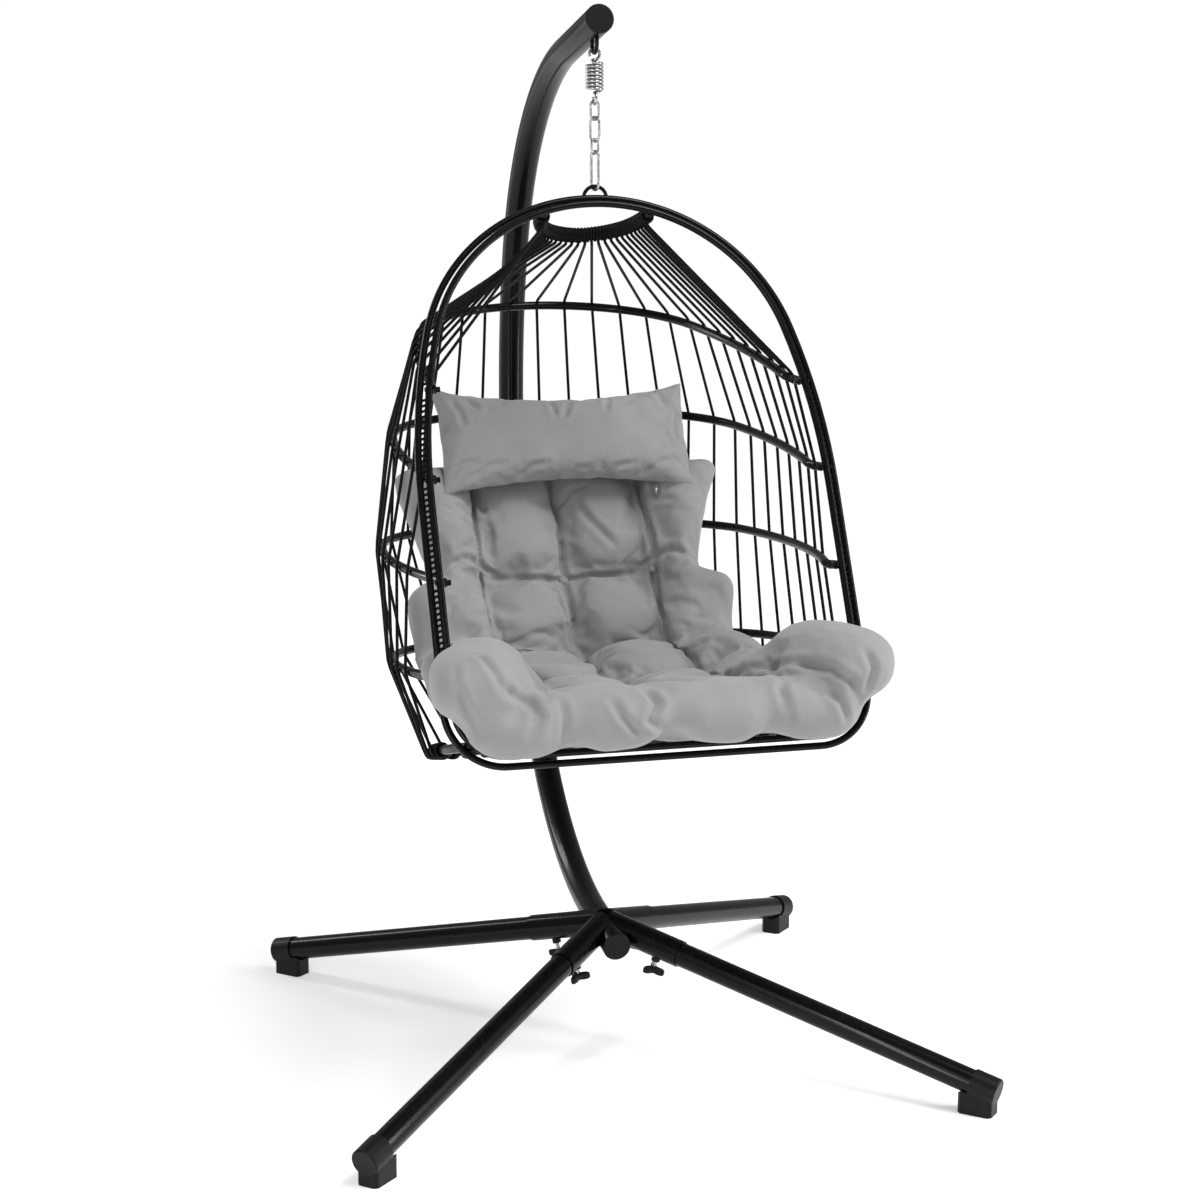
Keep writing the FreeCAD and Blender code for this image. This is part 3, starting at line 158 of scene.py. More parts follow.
HOOP_LEAN = 26.6
HOOP_HEIGHT = 1080.0
HOOP_HALF = 392.0
HOOP_TOP_RADIUS = 362.0
HOOP_TOP_TURN = 75.0
HOOP_CORNER = 110.0
HOOP_TUBE = 13.0
HOOP_SPACING = 16.0
HOOP_STAGGER = 10.0
RIB_TUBE = 17.0
RIB_START = 22.0
# Each bow: level of its ends down the hoop, tilt, depth, flare of the ends, turn of its side and of its
# corner, and the corner's radius
RIBS = {
    "upper_rib": (385.0, 10.9, 642.0, 2.0, 18.0, 46.0, 270.0),
    "shoulder_rib": (555.0, 4.6, 690.0, 10.0, 10.0, 58.0, 260.0),
    "middle_rib": (744.0, -0.8, 784.0, 17.0, 12.0, 56.0, 280.0),
    "lower_rib": (922.0, -5.0, 700.0, 22.0, 16.0, 52.0, 260.0),
}
BAND = (38.0, -16.0, 150.0, 0.0, 20.0, 50.0, 110.0)
SEAT_RING = (1034.0, -15.0, 440.0, 20.0, 16.0, 56.0, 170.0)
BAND_TUBE = 16.0
CORDS = 29
CORD_DIA = 6.0
BAND_PITCH = 13.0
RIB_PITCH = {"upper_rib": 55.4, "shoulder_rib": 62.0, "middle_rib": 62.0, "lower_rib": 54.0}
SEAT_PITCH = 40.0
KNOT_DIA = 30.0


def link_tops():
    """The height of the top centre line of each link, and of the basket's ring."""
    tops = {}
    low, above = SPRING_LOW, SPRING_WIRE
    for name, (length, width, wire) in LINKS.items():
        tops[name] = low + (above + wire) / 2 + LINK_GAP
        low, above = tops[name] - (length - wire), wire
    tops["ring"] = low + (above + RING_WIRE) / 2 + LINK_GAP
    return tops


TOPS = link_tops()
HOOP_TOP = TOPS["ring"] - (RING_WIDTH - RING_WIRE) / 2
LEAN = Matrix.Rotation(math.radians(90 - HOOP_LEAN), 4, "X")
HOOP = Matrix.Translation(Vector((0, HOOK_Y, HOOP_TOP)) + (LEAN @ Vector((0, HOOP_TUBE / 2, 0)))) @ LEAN


def hoop_route(inset, lift):
    """A hoop's centre line, from the middle of its foot round over the top."""
    turn = math.radians(HOOP_TOP_TURN)
    rest = 90 - HOOP_TOP_TURN
    top = HOOP_TOP_RADIUS - inset
    half = HOOP_HALF - inset
    corner = HOOP_CORNER - inset
    shoulder = (half - top * math.sin(turn)) / (1 - math.sin(turn))
    side = HOOP_HEIGHT - 2 * inset - corner - shoulder * math.cos(turn) - top * (1 - math.cos(turn))
    rise = [(half - corner, 0), (corner, 90), (side, 0), (shoulder, rest)]
    steps = rise + [(top, 2 * HOOP_TOP_TURN)] + rise[::-1]
    return Route((0, -(HOOP_HEIGHT - inset)), 0, steps, HOOP @ Matrix.Translation((0, 0, lift)))


OUTER_INSET = HOOP_TUBE / 2
INNER_INSET = OUTER_INSET + HOOP_SPACING


def half_width(level, inset):
    """Half a hoop's width at a level down from its top."""
    route = hoop_route(inset, 0)
    back = route.place.inverted()
    low, high = 0.0, route.length / 2
    for _ in range(40):
        middle = (low + high) / 2
        if (back @ route.at(middle)[0]).y < -level:
            low = middle
        else:
            high = middle
    return (back @ route.at(low)[0]).x


def bow_route(shape, end_x, start):
    """A bowed tube of the cage in its tilted plane, from the sitter's left round the back to the right."""
    level, tilt, depth, flare, side, corner, bend = shape
    first, second, third = (math.radians(90 + turn) for turn in (-flare, side, side + corner))
    a, b = math.sin(second) - math.sin(first), -math.sin(third)
    c, d = math.cos(first) - math.cos(second), math.cos(third) + 1
    across = -end_x - bend * (math.sin(third) - math.sin(second))
    back = depth - start - bend * (math.cos(second) - math.cos(third))
    det = a * d - b * c
    side_radius, back_radius = (across * d - b * back) / det, (a * back - c * across) / det
    place = Matrix.Translation(HOOP @ Vector((0, -level, 0))) @ Matrix.Rotation(math.radians(tilt), 4, "X")
    return Route((end_x, start), 90 - flare, [
        (side_radius, flare + side), (bend, corner), (back_radius, 2 * (90 - side - corner)), (bend, corner),
        (side_radius, flare + side)], place)


RIB_HOOP_GAP = 1.6
BOWS = {}
for name, shape in RIBS.items():
    end = half_width(shape[0], INNER_INSET) - HOOP_TUBE / 2 - RIB_TUBE / 2 - RIB_HOOP_GAP
    BOWS[name] = bow_route(shape, end, RIB_START)
for name, shape in (("band", BAND), ("seat", SEAT_RING)):
    BOWS[name] = bow_route(shape, half_width(shape[0], INNER_INSET), 0.0)


def on_bow(name, run, out=0.0, down=0.0):
    """A point that far along a bow from its middle, out from the tube."""
    point, ahead, side, up = BOWS[name].at(BOWS[name].length / 2 + run)
    return point + side * out - up * down, ahead, side, up


# The photograph's camera: its place in metres, and its turn, fall and roll in degrees
CAMERA_AT = (-1.1073, -4.2041, 1.60315)
CAMERA_TURN = (15.02, 9.854, -0.175)
SENSOR = 36.0
PICTURE = 1200


def camera_place():
    """Where the photograph's camera stands, and how it is turned."""
    azimuth, fall, roll = (math.radians(a) for a in CAMERA_TURN)
    ahead = Vector((math.sin(azimuth) * math.cos(fall), math.cos(azimuth) * math.cos(fall), -math.sin(fall)))
    right = ahead.cross(Z_AXIS).normalized()
    turn = Matrix((right, right.cross(ahead), -ahead)).transposed().to_4x4() @ Matrix.Rotation(roll, 4, "Z")
    return Matrix.Translation(CAMERA_AT) @ turn


def sight(across, down, lens):
    """The camera's ray through a place in the picture."""
    place = camera_place()
    ray = Vector((across - PICTURE / 2, PICTURE / 2 - down, -lens / SENSOR * PICTURE))
    return place.translation, (place.to_3x3() @ ray).normalized()


# Meshes

class Shell:
    """The points and faces of one piece."""

    def __init__(self):
        self.points = []
        self.faces = []

    def ring(self, points):
        first = len(self.points)
        self.points += [tuple(p) for p in points]
        return list(range(first, first + len(points)))

    def join(self, low, high):
        count = len(low)
        self.faces += [(low[i], low[(i + 1) % count], high[(i + 1) % count], high[i]) for i in range(count)]

    def loft(self, rings, closed=False, caps=True):
        rings = [self.ring(points) for points in rings]
        for low, high in zip(rings, rings[1:]):
            self.join(low, high)
        if closed:
            self.join(rings[-1], rings[0])
        elif caps:
            self.faces += [tuple(reversed(rings[0])), tuple(rings[-1])]

    def tube(self, points, radius, sides=12, closed=False, squash=None, soften=0.0):
        """A round bar through points; squash gives (across, up) shares at each point."""
        points = [Vector(p) for p in points]
        count = len(points)
        ways = []
        for i in range(count):
            before = points[i - 1] if i or closed else points[i]
            after = points[(i + 1) % count] if i < count - 1 or closed else points[i]
            ways.append((after - before).normalized())
        normal = ways[0].orthogonal().normalized()
        if squash:
            normal = (squash[0][2] - ways[0] * squash[0][2].dot(ways[0])).normalized()
        rings = []
        for i, (point, way) in enumerate(zip(points, ways)):
            normal = (normal - way * normal.dot(way)).normalized()
            other = way.cross(normal)
            wide, high = (squash[i][0], squash[i][1]) if squash else (1.0, 1.0)
            r = radius[i] if isinstance(radius, (list, tuple)) else radius
            rings.append([point + normal * r * wide * math.cos(t) + other * r * high * math.sin(t)
                          for t in (2 * math.pi * k / sides for k in range(sides))])
        if soften and not closed:
            rings = self.rounded(rings, ways, soften)
        self.loft(rings, closed)

    @staticmethod
    def rounded(rings, ways, soften):
        """Small rounded rims at a bar's two ends."""
        def rim(ring, way, share):
            middle = sum(ring, Vector()) / len(ring)
            size = (ring[0] - middle).length
            return [middle + (p - middle) * (1 - soften * (1 - math.cos(share)) / size)
                    + way * soften * (math.sin(share) - 1) for p in ring]
        steps = [math.radians(a) for a in (80, 55, 30, 0)]
        head = [rim(rings[0], -ways[0], s) for s in steps]
        tail = [rim(rings[-1], ways[-1], s) for s in reversed(steps)]
        return head + rings[1:-1] + tail

    def plate(self, outline, normal, thickness, bevel=0.4):
        """A flat plate of an outline, its edges a little rounded."""
        middle = sum(outline, Vector()) / len(outline)
        rings = []
        for height, inset in ((0, bevel), (bevel, 0), (thickness - bevel, 0), (thickness, bevel)):
            rings.append([p + (middle - p).normalized() * inset + normal * height for p in outline])
        self.loft(rings)

    def lathe(self, at, axis, profile, sides=32):
        """A turned piece: (distance along the axis, radius) pairs."""
        side = axis.orthogonal().normalized()
        other = axis.cross(side)
        self.loft([[at + axis * run + (side * math.cos(t) + other * math.sin(t)) * radius
                    for t in (2 * math.pi * k / sides for k in range(sides))] for run, radius in profile])

    def made(self, name, material, body, slot, stands_for=(), flat_above=None):
        """The finished object, in metres in the chair's frame, riding on its body."""
        mesh = bpy.data.meshes.new(name)
        mesh.from_pydata([tuple((Vector(p) + SHIFT) * MM) for p in self.points], [], self.faces)
        mesh.update()
        mesh.shade_smooth()
        if flat_above:
            mesh.set_sharp_from_angle(angle=math.radians(flat_above))
        obj = bpy.data.objects.new(name, mesh)
        bpy.context.scene.collection.objects.link(obj)
        return settle(obj, material, body, stands_for)


def settle(obj, material, body, stands_for=()):
    """Gives the object its material, its body and the nodes that it stands for."""
    obj.data.materials.clear()
    obj.data.materials.append(material)
    if body:
        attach(obj, body)
    if stands_for:
        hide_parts(*stands_for)
    return obj


def dress(node, material):
    """A better finish for a CAD node that is kept."""
    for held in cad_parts[node].material_slots:
        held.material = material


def helix(name, start, end, radius, pitch, lift=0.0):
    """A winding round a bow, from one run to another."""
    turns = abs(end - start) / pitch
    count = max(8, int(turns * 14))
    points = []
    for i in range(count + 1):
        run = start + (end - start) * i / count
        angle = 2 * math.pi * turns * i / count + lift
        at, ahead, side, up = on_bow(name, run)
        points.append(at + side * radius * math.cos(angle) + up * radius * math.sin(angle))
    return points


def hermite(a, way_a, b, way_b, count=8):
    """Points of a smooth bend between two points, without the first."""
    out = []
    for i in range(1, count + 1):
        t = i / count
        out.append(a * (2 * t ** 3 - 3 * t ** 2 + 1) + way_a * (t ** 3 - 2 * t ** 2 + t)
                   + b * (3 * t ** 2 - 2 * t ** 3) + way_b * (t ** 3 - t ** 2))
    return out


# Shader maths

class Val:
    """A shader socket that takes Python's operators."""

    def __init__(self, tree, socket):
        self.tree, self.socket = tree, socket

    def math(self, operation, *values):
        node = self.tree.nodes.new("ShaderNodeMath")
        node.operation = operation
        for held, value in zip(node.inputs, values):
            if isinstance(value, Val):
                self.tree.links.new(value.socket, held)
            else:
                held.default_value = value
        return Val(self.tree, node.outputs[0])

    def __add__(self, other):
        return self.math("ADD", self, other)

    __radd__ = __add__

    def __sub__(self, other):
        return self.math("SUBTRACT", self, other)

    def __rsub__(self, other):
        return self.math("SUBTRACT", other, self)

    def __mul__(self, other):
        return self.math("MULTIPLY", self, other)

    __rmul__ = __mul__

    def sine(self):
        return self.math("SINE", self)


class Finish:
    """A material and its Principled shader."""

    def __init__(self, name, **constants):
        self.material = bpy.data.materials.new(name)
        self.material.use_nodes = True
        self.tree = self.material.node_tree
        self.shader = self.tree.nodes["Principled BSDF"]
        self.put(self.shader, constants)
        self.place = self.add("ShaderNodeTexCoord", out="Object")

    def put(self, node, values):
        """Sets or links a node's sockets, named with an underscore for each space."""
        for name, value in values.items():
            held = node.inputs[name.replace("_", " ")]
            if isinstance(value, Val):
                self.tree.links.new(value.socket, held)
            else:
                held.default_value = value

    def add(self, kind, settings=None, out=0, **inputs):
        """One node: its type, its settings, and the values or links of its sockets."""
        node = self.tree.nodes.new(kind)
        for name, value in (settings or {}).items():
            setattr(node, name, value)
        self.put(node, inputs)
        return Val(self.tree, node.outputs[out])

    def noise(self, scale, detail=2.0, roughness=0.5, **settings):
        return self.add("ShaderNodeTexNoise", settings, "Fac", Vector=self.place, Scale=scale, Detail=detail,
                        Roughness=roughness)

    def range(self, value, low, high):
        """How far a value is from low to high."""
        return self.add("ShaderNodeMapRange", None, "Result", Value=value, From_Min=low, From_Max=high)

    def mix(self, share, a, b):
        """A colour between two, by a share."""
        node = self.tree.nodes.new("ShaderNodeMix")
        node.data_type = "RGBA"
        for held, value in ((node.inputs[0], share), (node.inputs[6], a), (node.inputs[7], b)):
            if isinstance(value, Val):
                self.tree.links.new(value.socket, held)
            else:
                held.default_value = value if isinstance(value, float) else (*value, 1)
        return Val(self.tree, node.outputs[2])

    def bump(self, height, strength, distance):
        given = {"Height": height, "Strength": strength, "Distance": distance}
        normal = self.add("ShaderNodeBump", None, "Normal", **given)
        self.put(self.shader, {"Normal": normal})

    def finish(self, **varying):
        self.put(self.shader, varying)
        return self.material


DUST = (0.016, 0.016, 0.017)


def shaded(colour, share):
    return tuple(min(1, c * share) for c in colour)


def powder_coat(colour):
    """Glossy black coat with a fine peel, clouds and a little dust."""
    f = Finish("black_powder_coat", Coat_Weight=0.12, Coat_Roughness=0.08, Specular_IOR_Level=0.10)
    cloud = f.noise(9.0, 3.0)
    peel = f.noise(650.0, 2.0)
    dust = f.range(f.noise(60.0, 4.0, 0.65), 0.56, 0.75)
    f.bump(peel, 0.10, 0.0004)
    shade = f.mix(cloud, colour, shaded(colour, 1.5))
    return f.finish(Base_Color=f.mix(dust * 0.10, shade, DUST), Roughness=0.20 + cloud * 0.08 + dust * 0.12)


def cord_plastic(colour):
    """Dull extruded cord, paler where it is rubbed."""
    f = Finish("black_cord", Specular_IOR_Level=0.10)
    grain = f.noise(420.0, 3.0, 0.6)
    wear = f.range(f.noise(35.0, 3.0), 0.5, 0.8)
    f.bump(grain, 0.35, 0.0006)
    return f.finish(Base_Color=f.mix(wear * 0.6, colour, shaded(colour, 1.9)), Roughness=0.46 + grain * 0.16)


def bright_metal(colour):
    """Plated steel, a little smeared."""
    f = Finish("bright_steel", Metallic=1.0)
    smear = f.noise(45.0, 3.0, 0.6)
    fine = f.noise(900.0, 2.0)
    f.bump(fine, 0.06, 0.0003)
    return f.finish(Base_Color=f.mix(f.range(smear, 0.35, 0.75), colour, shaded(colour, 0.72)),
                    Roughness=0.13 + smear * 0.16)


def moulded_plastic(colour):
    """Grained black plastic with pale scuffs."""
    f = Finish("black_plastic", Specular_IOR_Level=0.16)
    grain = f.noise(1100.0, 2.0, 0.6)
    scuff = f.range(f.noise(24.0, 5.0, 0.7), 0.55, 0.8)
    f.bump(grain, 0.22, 0.0005)
    return f.finish(Base_Color=f.mix(scuff * 0.5, colour, shaded(colour, 2.2)), Roughness=0.36 + grain * 0.14)


def polyester(name, colour, thread=1150.0):
    """Plain-woven cloth: crossed threads, a soft mottle and faint creases."""
    f = Finish(name, Sheen_Weight=0.22, Sheen_Roughness=0.45, Specular_IOR_Level=0.25)
    axes = f.tree.nodes.new("ShaderNodeSeparateXYZ")
    f.put(axes, {"Vector": f.place})
    x, y, z = (Val(f.tree, out) for out in axes.outputs)
    along = ((x + (y - z) * 0.12) * (2 * math.pi * thread)).sine()
    across = ((z + y) * (2 * math.pi * thread * 0.62)).sine()
    weave = along * across * 0.5 + 0.5
    mottle = f.noise(14.0, 4.0, 0.6)
    slub = f.noise(260.0, 3.0, 0.65)
    creases = f.noise(16.0, 3.0, noise_type="RIDGED_MULTIFRACTAL")
    f.bump(weave * 0.12 + slub * 0.30 + creases * 0.9, 0.30, 0.0012)
    shade = f.mix(f.range(mottle, 0.3, 0.7), shaded(colour, 0.93), shaded(colour, 1.06))
    return f.finish(Base_Color=f.mix(f.range(slub, 0.35, 0.7) * 0.35, shade, shaded(colour, 0.84)),
                    Roughness=0.74 + slub * 0.16)


MAKERS = {
    "coat": powder_coat,
    "cord": cord_plastic,
    "plastic": moulded_plastic,
    "steel": bright_metal,
    "cloth": lambda colour: polyester("grey_polyester", colour),
    "tie": lambda colour: polyester("tie_tape", colour, 700.0),
}


# Soft goods

def applied(obj):
    """The object's mesh with its modifiers worked in."""
    bpy.context.view_layer.update()
    mesh = bpy.data.meshes.new_from_object(obj.evaluated_get(bpy.context.evaluated_depsgraph_get()))
    obj.modifiers.clear()
    old, obj.data = obj.data, mesh
    bpy.data.meshes.remove(old)
    return obj


def modify(obj, kind, **settings):
    """Works one modifier into the object's mesh."""
    modifier = obj.modifiers.new(kind.title(), kind)
    for name, value in settings.items():
        setattr(modifier, name, value)
    return applied(obj)


def shifted(mesh, place_of):
    """Gives each vertex a new place, worked out for all of them before any moves."""
    places = [place_of(vertex) for vertex in mesh.vertices]
    mesh.vertices.foreach_set("co", [number for place in places for number in place])
    mesh.update()


def closed_up(obj, grid, reach):
    """Fills hollows narrower than twice the reach: the cloth is grown, made one skin, and shrunk back."""
    for step in (0.0, 0.5, 0.5, -0.5, -0.5):
        shifted(obj.data, lambda vertex: vertex.co + vertex.normal * (reach * step))
        modify(obj, "REMESH", mode="VOXEL", voxel_size=grid)
    return obj


def kept_clear(obj, tree, gap):
    """Moves the cloth off the pieces it lies against."""
    def clear(vertex):
        place, normal, face, distance = tree.find_nearest(vertex.co, 0.02)
        if place is not None and ((vertex.co - place).dot(normal) < 0 or distance < gap):
            return place + normal * gap
        return vertex.co.copy()
    shifted(obj.data, clear)


def skin_of(obj):
    """A search tree of the object's surface."""
    points = [v.co.copy() for v in obj.data.vertices]
    return BVHTree.FromPolygons(points, [list(p.vertices) for p in obj.data.polygons])


def cast(skin, rays, reach=0.16):
    """The places where rays meet the cloth, as long as one lies near the last."""
    places = []
    for origin, way in rays:
        hit = skin.ray_cast(origin, way)[0]
        if hit is not None and (not places or (hit - places[-1]).length < reach):
            places.append(hit)
    return places


def line_marks(lines):
    """Places every two millimetres along the lines, each with its depth, faded at the ends, and its width."""
    marks = []
    for depth, width, places in lines:
        length = sum((b - a).length for a, b in zip(places, places[1:]))
        walked = 0.0
        for a, b in zip(places, places[1:]):
            steps = max(1, int((b - a).length / 0.002))
            for i in range(steps):
                along = walked + (b - a).length * i / steps
                fade = min(1.0, min(along, length - along) / (0.25 * length) + 0.3)
                marks.append((a.lerp(b, i / steps), depth * MM * fade, width * MM))
            walked += (b - a).length
    tree = KDTree(len(marks))
    for i, mark in enumerate(marks):
        tree.insert(mark[0], i)
    tree.balance()
    return tree, marks


def folded(obj, lines, swell=0.4):
    """Presses creases into the cloth along lines, with a soft swell on both sides of each."""
    tree, marks = line_marks(lines)

    def pressed(vertex):
        place, index, gap = tree.find(vertex.co)
        depth, width = marks[index][1:]
        share = gap / width
        if share > 4:
            return vertex.co.copy()
        rise = swell * math.exp(-((share - 2.0) ** 2)) - math.exp(-share * share)
        return vertex.co + vertex.normal * depth * rise
    shifted(obj.data, pressed)


def inflate(obj, pinned, pressure, slack, cap, room=None, frames=20, stiffness=12.0):
    """Fills a closed cloth with air, holds the pinned points, and limits how far each point moves."""
    start = [v.co.copy() for v in obj.data.vertices]
    if pinned:
        group = obj.vertex_groups.new(name="Sewn")
        group.add(list(pinned), 1.0, "REPLACE")
    cloth = obj.modifiers.new("Cloth", "CLOTH")
    held = cloth.settings
    held.quality = 5
    held.mass = 0.3
    held.tension_stiffness = held.compression_stiffness = stiffness
    held.shear_stiffness = stiffness / 2
    held.bending_stiffness = 0.35
    held.air_damping = 2.0
    held.shrink_min = -slack
    held.use_pressure = True
    held.uniform_pressure_force = pressure
    held.effector_weights.gravity = 0.0
    if pinned:
        held.vertex_group_mass = "Sewn"
    scene = bpy.context.scene
    for f in range(1, frames + 1):
        scene.frame_set(f)
    applied(obj)
    scene.frame_set(1)
    obj.vertex_groups.clear()

    def held_back(vertex):
        old = start[vertex.index]
        move = vertex.co - old
        limit = min(cap, max(0.0, room.find_nearest(old)[3] - 0.002)) if room else cap
        return old + move.normalized() * min(limit, move.length)
    shifted(obj.data, held_back)


def neighbours(names):
    """One search tree of other pieces' surfaces."""
    points, faces = [], []
    for name in names:
        obj = bpy.data.objects[name]
        first = len(points)
        points += [obj.matrix_world @ v.co for v in obj.data.vertices]
        faces += [[first + k for k in polygon.vertices] for polygon in obj.data.polygons]
    return BVHTree.FromPolygons(points, faces)


def soft_copy(name, node):
    """A new object with a copy of a CAD node's mesh."""
    obj = bpy.data.objects.new(name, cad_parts[node].data.copy())
    bpy.context.scene.collection.objects.link(obj)
    return obj


# Sizes and colours that a user would change

class EggChairSizes(bpy.types.PropertyGroup):
    rung: bpy.props.FloatProperty(
        name="Rung", description="Thickness of the lacing's rungs",
        default=0.0046, unit="LENGTH")
    cord: bpy.props.FloatProperty(
        name="Cord", description="Thickness of the cage's cord",
        default=CORD_DIA * MM, unit="LENGTH")
    voxel: bpy.props.FloatProperty(
        name="Cushion grid", description="Spacing of the cushion's mesh",
        default=0.0085, unit="LENGTH")
    swell: bpy.props.FloatProperty(
        name="Swell", description="Furthest that a cushion's cloth may move",
        default=0.026, unit="LENGTH")
    filled: bpy.props.FloatProperty(
        name="Filled", description="Half the width of the hollows that the stuffing fills",
        default=0.012, unit="LENGTH")
    seam: bpy.props.FloatProperty(
        name="Seam", description="How far from a seam's line the cloth is held",
        default=0.0048, unit="LENGTH")
    slack: bpy.props.FloatProperty(
        name="Slack", description="Extra cloth in the cushions",
        default=0.11, subtype="FACTOR")
    lens: bpy.props.FloatProperty(
        name="Lens", description="Focal length in millimetres on a 36 mm sensor",
        default=68.22)
    floor: bpy.props.FloatProperty(
        name="Floor", description="Width of the floor",
        default=60.0, unit="LENGTH")


class EggChairColours(bpy.types.PropertyGroup):
    coat: bpy.props.FloatVectorProperty(
        name="Powder coat", description="Colour of the coated tubes",
        subtype="COLOR", default=(0.0016, 0.0016, 0.0017))
    cord: bpy.props.FloatVectorProperty(
        name="Cord", description="Colour of the cord",
        subtype="COLOR", default=(0.0022, 0.0022, 0.0023))
    plastic: bpy.props.FloatVectorProperty(
        name="Plastic", description="Colour of the moulded caps and knobs",
        subtype="COLOR", default=(0.0045, 0.0045, 0.0047))
    steel: bpy.props.FloatVectorProperty(
        name="Steel", description="Colour of the bright hardware",
        subtype="COLOR", default=(0.42, 0.42, 0.43))
    cloth: bpy.props.FloatVectorProperty(
        name="Cloth", description="Colour of the cushions",
        subtype="COLOR", default=(0.245, 0.247, 0.249))
    tie: bpy.props.FloatVectorProperty(
        name="Tie", description="Colour of the pillow's ties",
        subtype="COLOR", default=(0.30, 0.29, 0.20))
    floor: bpy.props.FloatVectorProperty(
        name="Floor", description="Colour of the floor",
        subtype="COLOR", default=(0.86, 0.86, 0.86))

class Piece:
    """What the operators share."""

    bl_options = {"REGISTER", "UNDO"}
    finishes = {}

    @staticmethod
    def sizes():
        return bpy.context.scene.egg_chair_sizes

    @staticmethod
    def colours():
        return bpy.context.scene.egg_chair_colours

    def finish_named(self, name):
        """The finish of that name, made once."""
        if name not in self.finishes:
            colour = tuple(getattr(self.colours(), name))
            self.finishes[name] = MAKERS[name](colour)
        return self.finishes[name]


# The lamps: place, what each shines at, width, height and watts
LAMPS = {
    "strip": ((-2.4, -2.4, 1.5), (0, 0, 1.0), 0.25, 2.6, 38),
    "far_strip": ((3.0, -1.2, 1.5), (0, 0, 1.0), 0.25, 2.6, 42),
    "rim": ((-2.6, 2.6, 2.2), (0, 0, 1.0), 0.5, 2.4, 45),
    "top": ((0.9, -1.2, 3.6), (0, -0.2, 0.7), 0.9, 0.9, 42),
}
SUN_WAY = (-0.70, 0.40, -0.95)
SUN_POWER, SUN_SPREAD = 2.1, 38
# The room's light on the chair, and how much brighter the camera sees it
ROOM_LIGHT, ROOM_SEEN = 0.32, 0.70


class EGGCHAIR_OT_stage(Piece, bpy.types.Operator):
    """Lay the floor, hang the lights and set the camera"""
    bl_idname = "egg_chair.stage"
    bl_label = "Stage"

    def execute(self, context):
        self.lay_floor(context.scene)
        self.light(context.scene)
        self.place_camera(context.scene)
        return {"FINISHED"}

    def lay_floor(self, scene):
        half = self.sizes().floor / 2
        mesh = bpy.data.meshes.new("floor")
        corners = [(x * half, y * half, 0) for x, y in ((-1, -1), (1, -1), (1, 1), (-1, 1))]
        mesh.from_pydata(corners, [], [(0, 1, 2, 3)])
        floor = bpy.data.objects.new("floor", mesh)
        scene.collection.objects.link(floor)
        colour = tuple(self.colours().floor)
        f = Finish("pale_floor", Specular_IOR_Level=0.05, Emission_Color=(1, 1, 1, 1), Emission_Strength=0.33)
        grain = f.noise(1.3, 3.0)
        f.finish(Base_Color=f.mix(grain, colour, shaded(colour, 1.03)), Roughness=0.55 + grain * 0.1)
        mesh.materials.append(f.material)

    @staticmethod
    def light(scene):
        """An even room, a soft sun and four soft lamps."""
        scene.world = bpy.data.worlds.new("studio")
        scene.world.use_nodes = True
        tree = scene.world.node_tree
        seen = Val(tree, tree.nodes.new("ShaderNodeLightPath").outputs["Is Camera Ray"])
        tree.nodes["Background"].inputs["Color"].default_value = (1, 1, 1, 1)
        tree.links.new((seen * ROOM_SEEN + ROOM_LIGHT).socket, tree.nodes["Background"].inputs["Strength"])
        scene.view_settings.view_transform = "Standard"
        sun = bpy.data.lights.new("sky", "SUN")
        sun.energy, sun.angle = SUN_POWER, math.radians(SUN_SPREAD)
        sky = bpy.data.objects.new("sky", sun)
        sky.rotation_mode = "QUATERNION"
        sky.visible_glossy = False
        sky.rotation_quaternion = Vector(SUN_WAY).to_track_quat("-Z", "Y")
        scene.collection.objects.link(sky)
        for name, (at, aim, size, tall, power) in LAMPS.items():
            lamp = bpy.data.lights.new(name, "AREA")
            lamp.shape, lamp.energy, lamp.size, lamp.size_y = "RECTANGLE", power, size, tall
            obj = bpy.data.objects.new(name, lamp)
            obj.location = at
            obj.rotation_mode = "QUATERNION"
            obj.rotation_quaternion = (Vector(aim) - Vector(at)).to_track_quat("-Z", "Y")
            scene.collection.objects.link(obj)

    def place_camera(self, scene):
        lens = bpy.data.cameras.new("camera")
        lens.lens, lens.sensor_width, lens.clip_start, lens.clip_end = self.sizes().lens, SENSOR, 0.1, 200.0
        camera = bpy.data.objects.new("camera", lens)
        camera.matrix_world = camera_place()
        scene.collection.objects.link(camera)
        scene.camera = camera


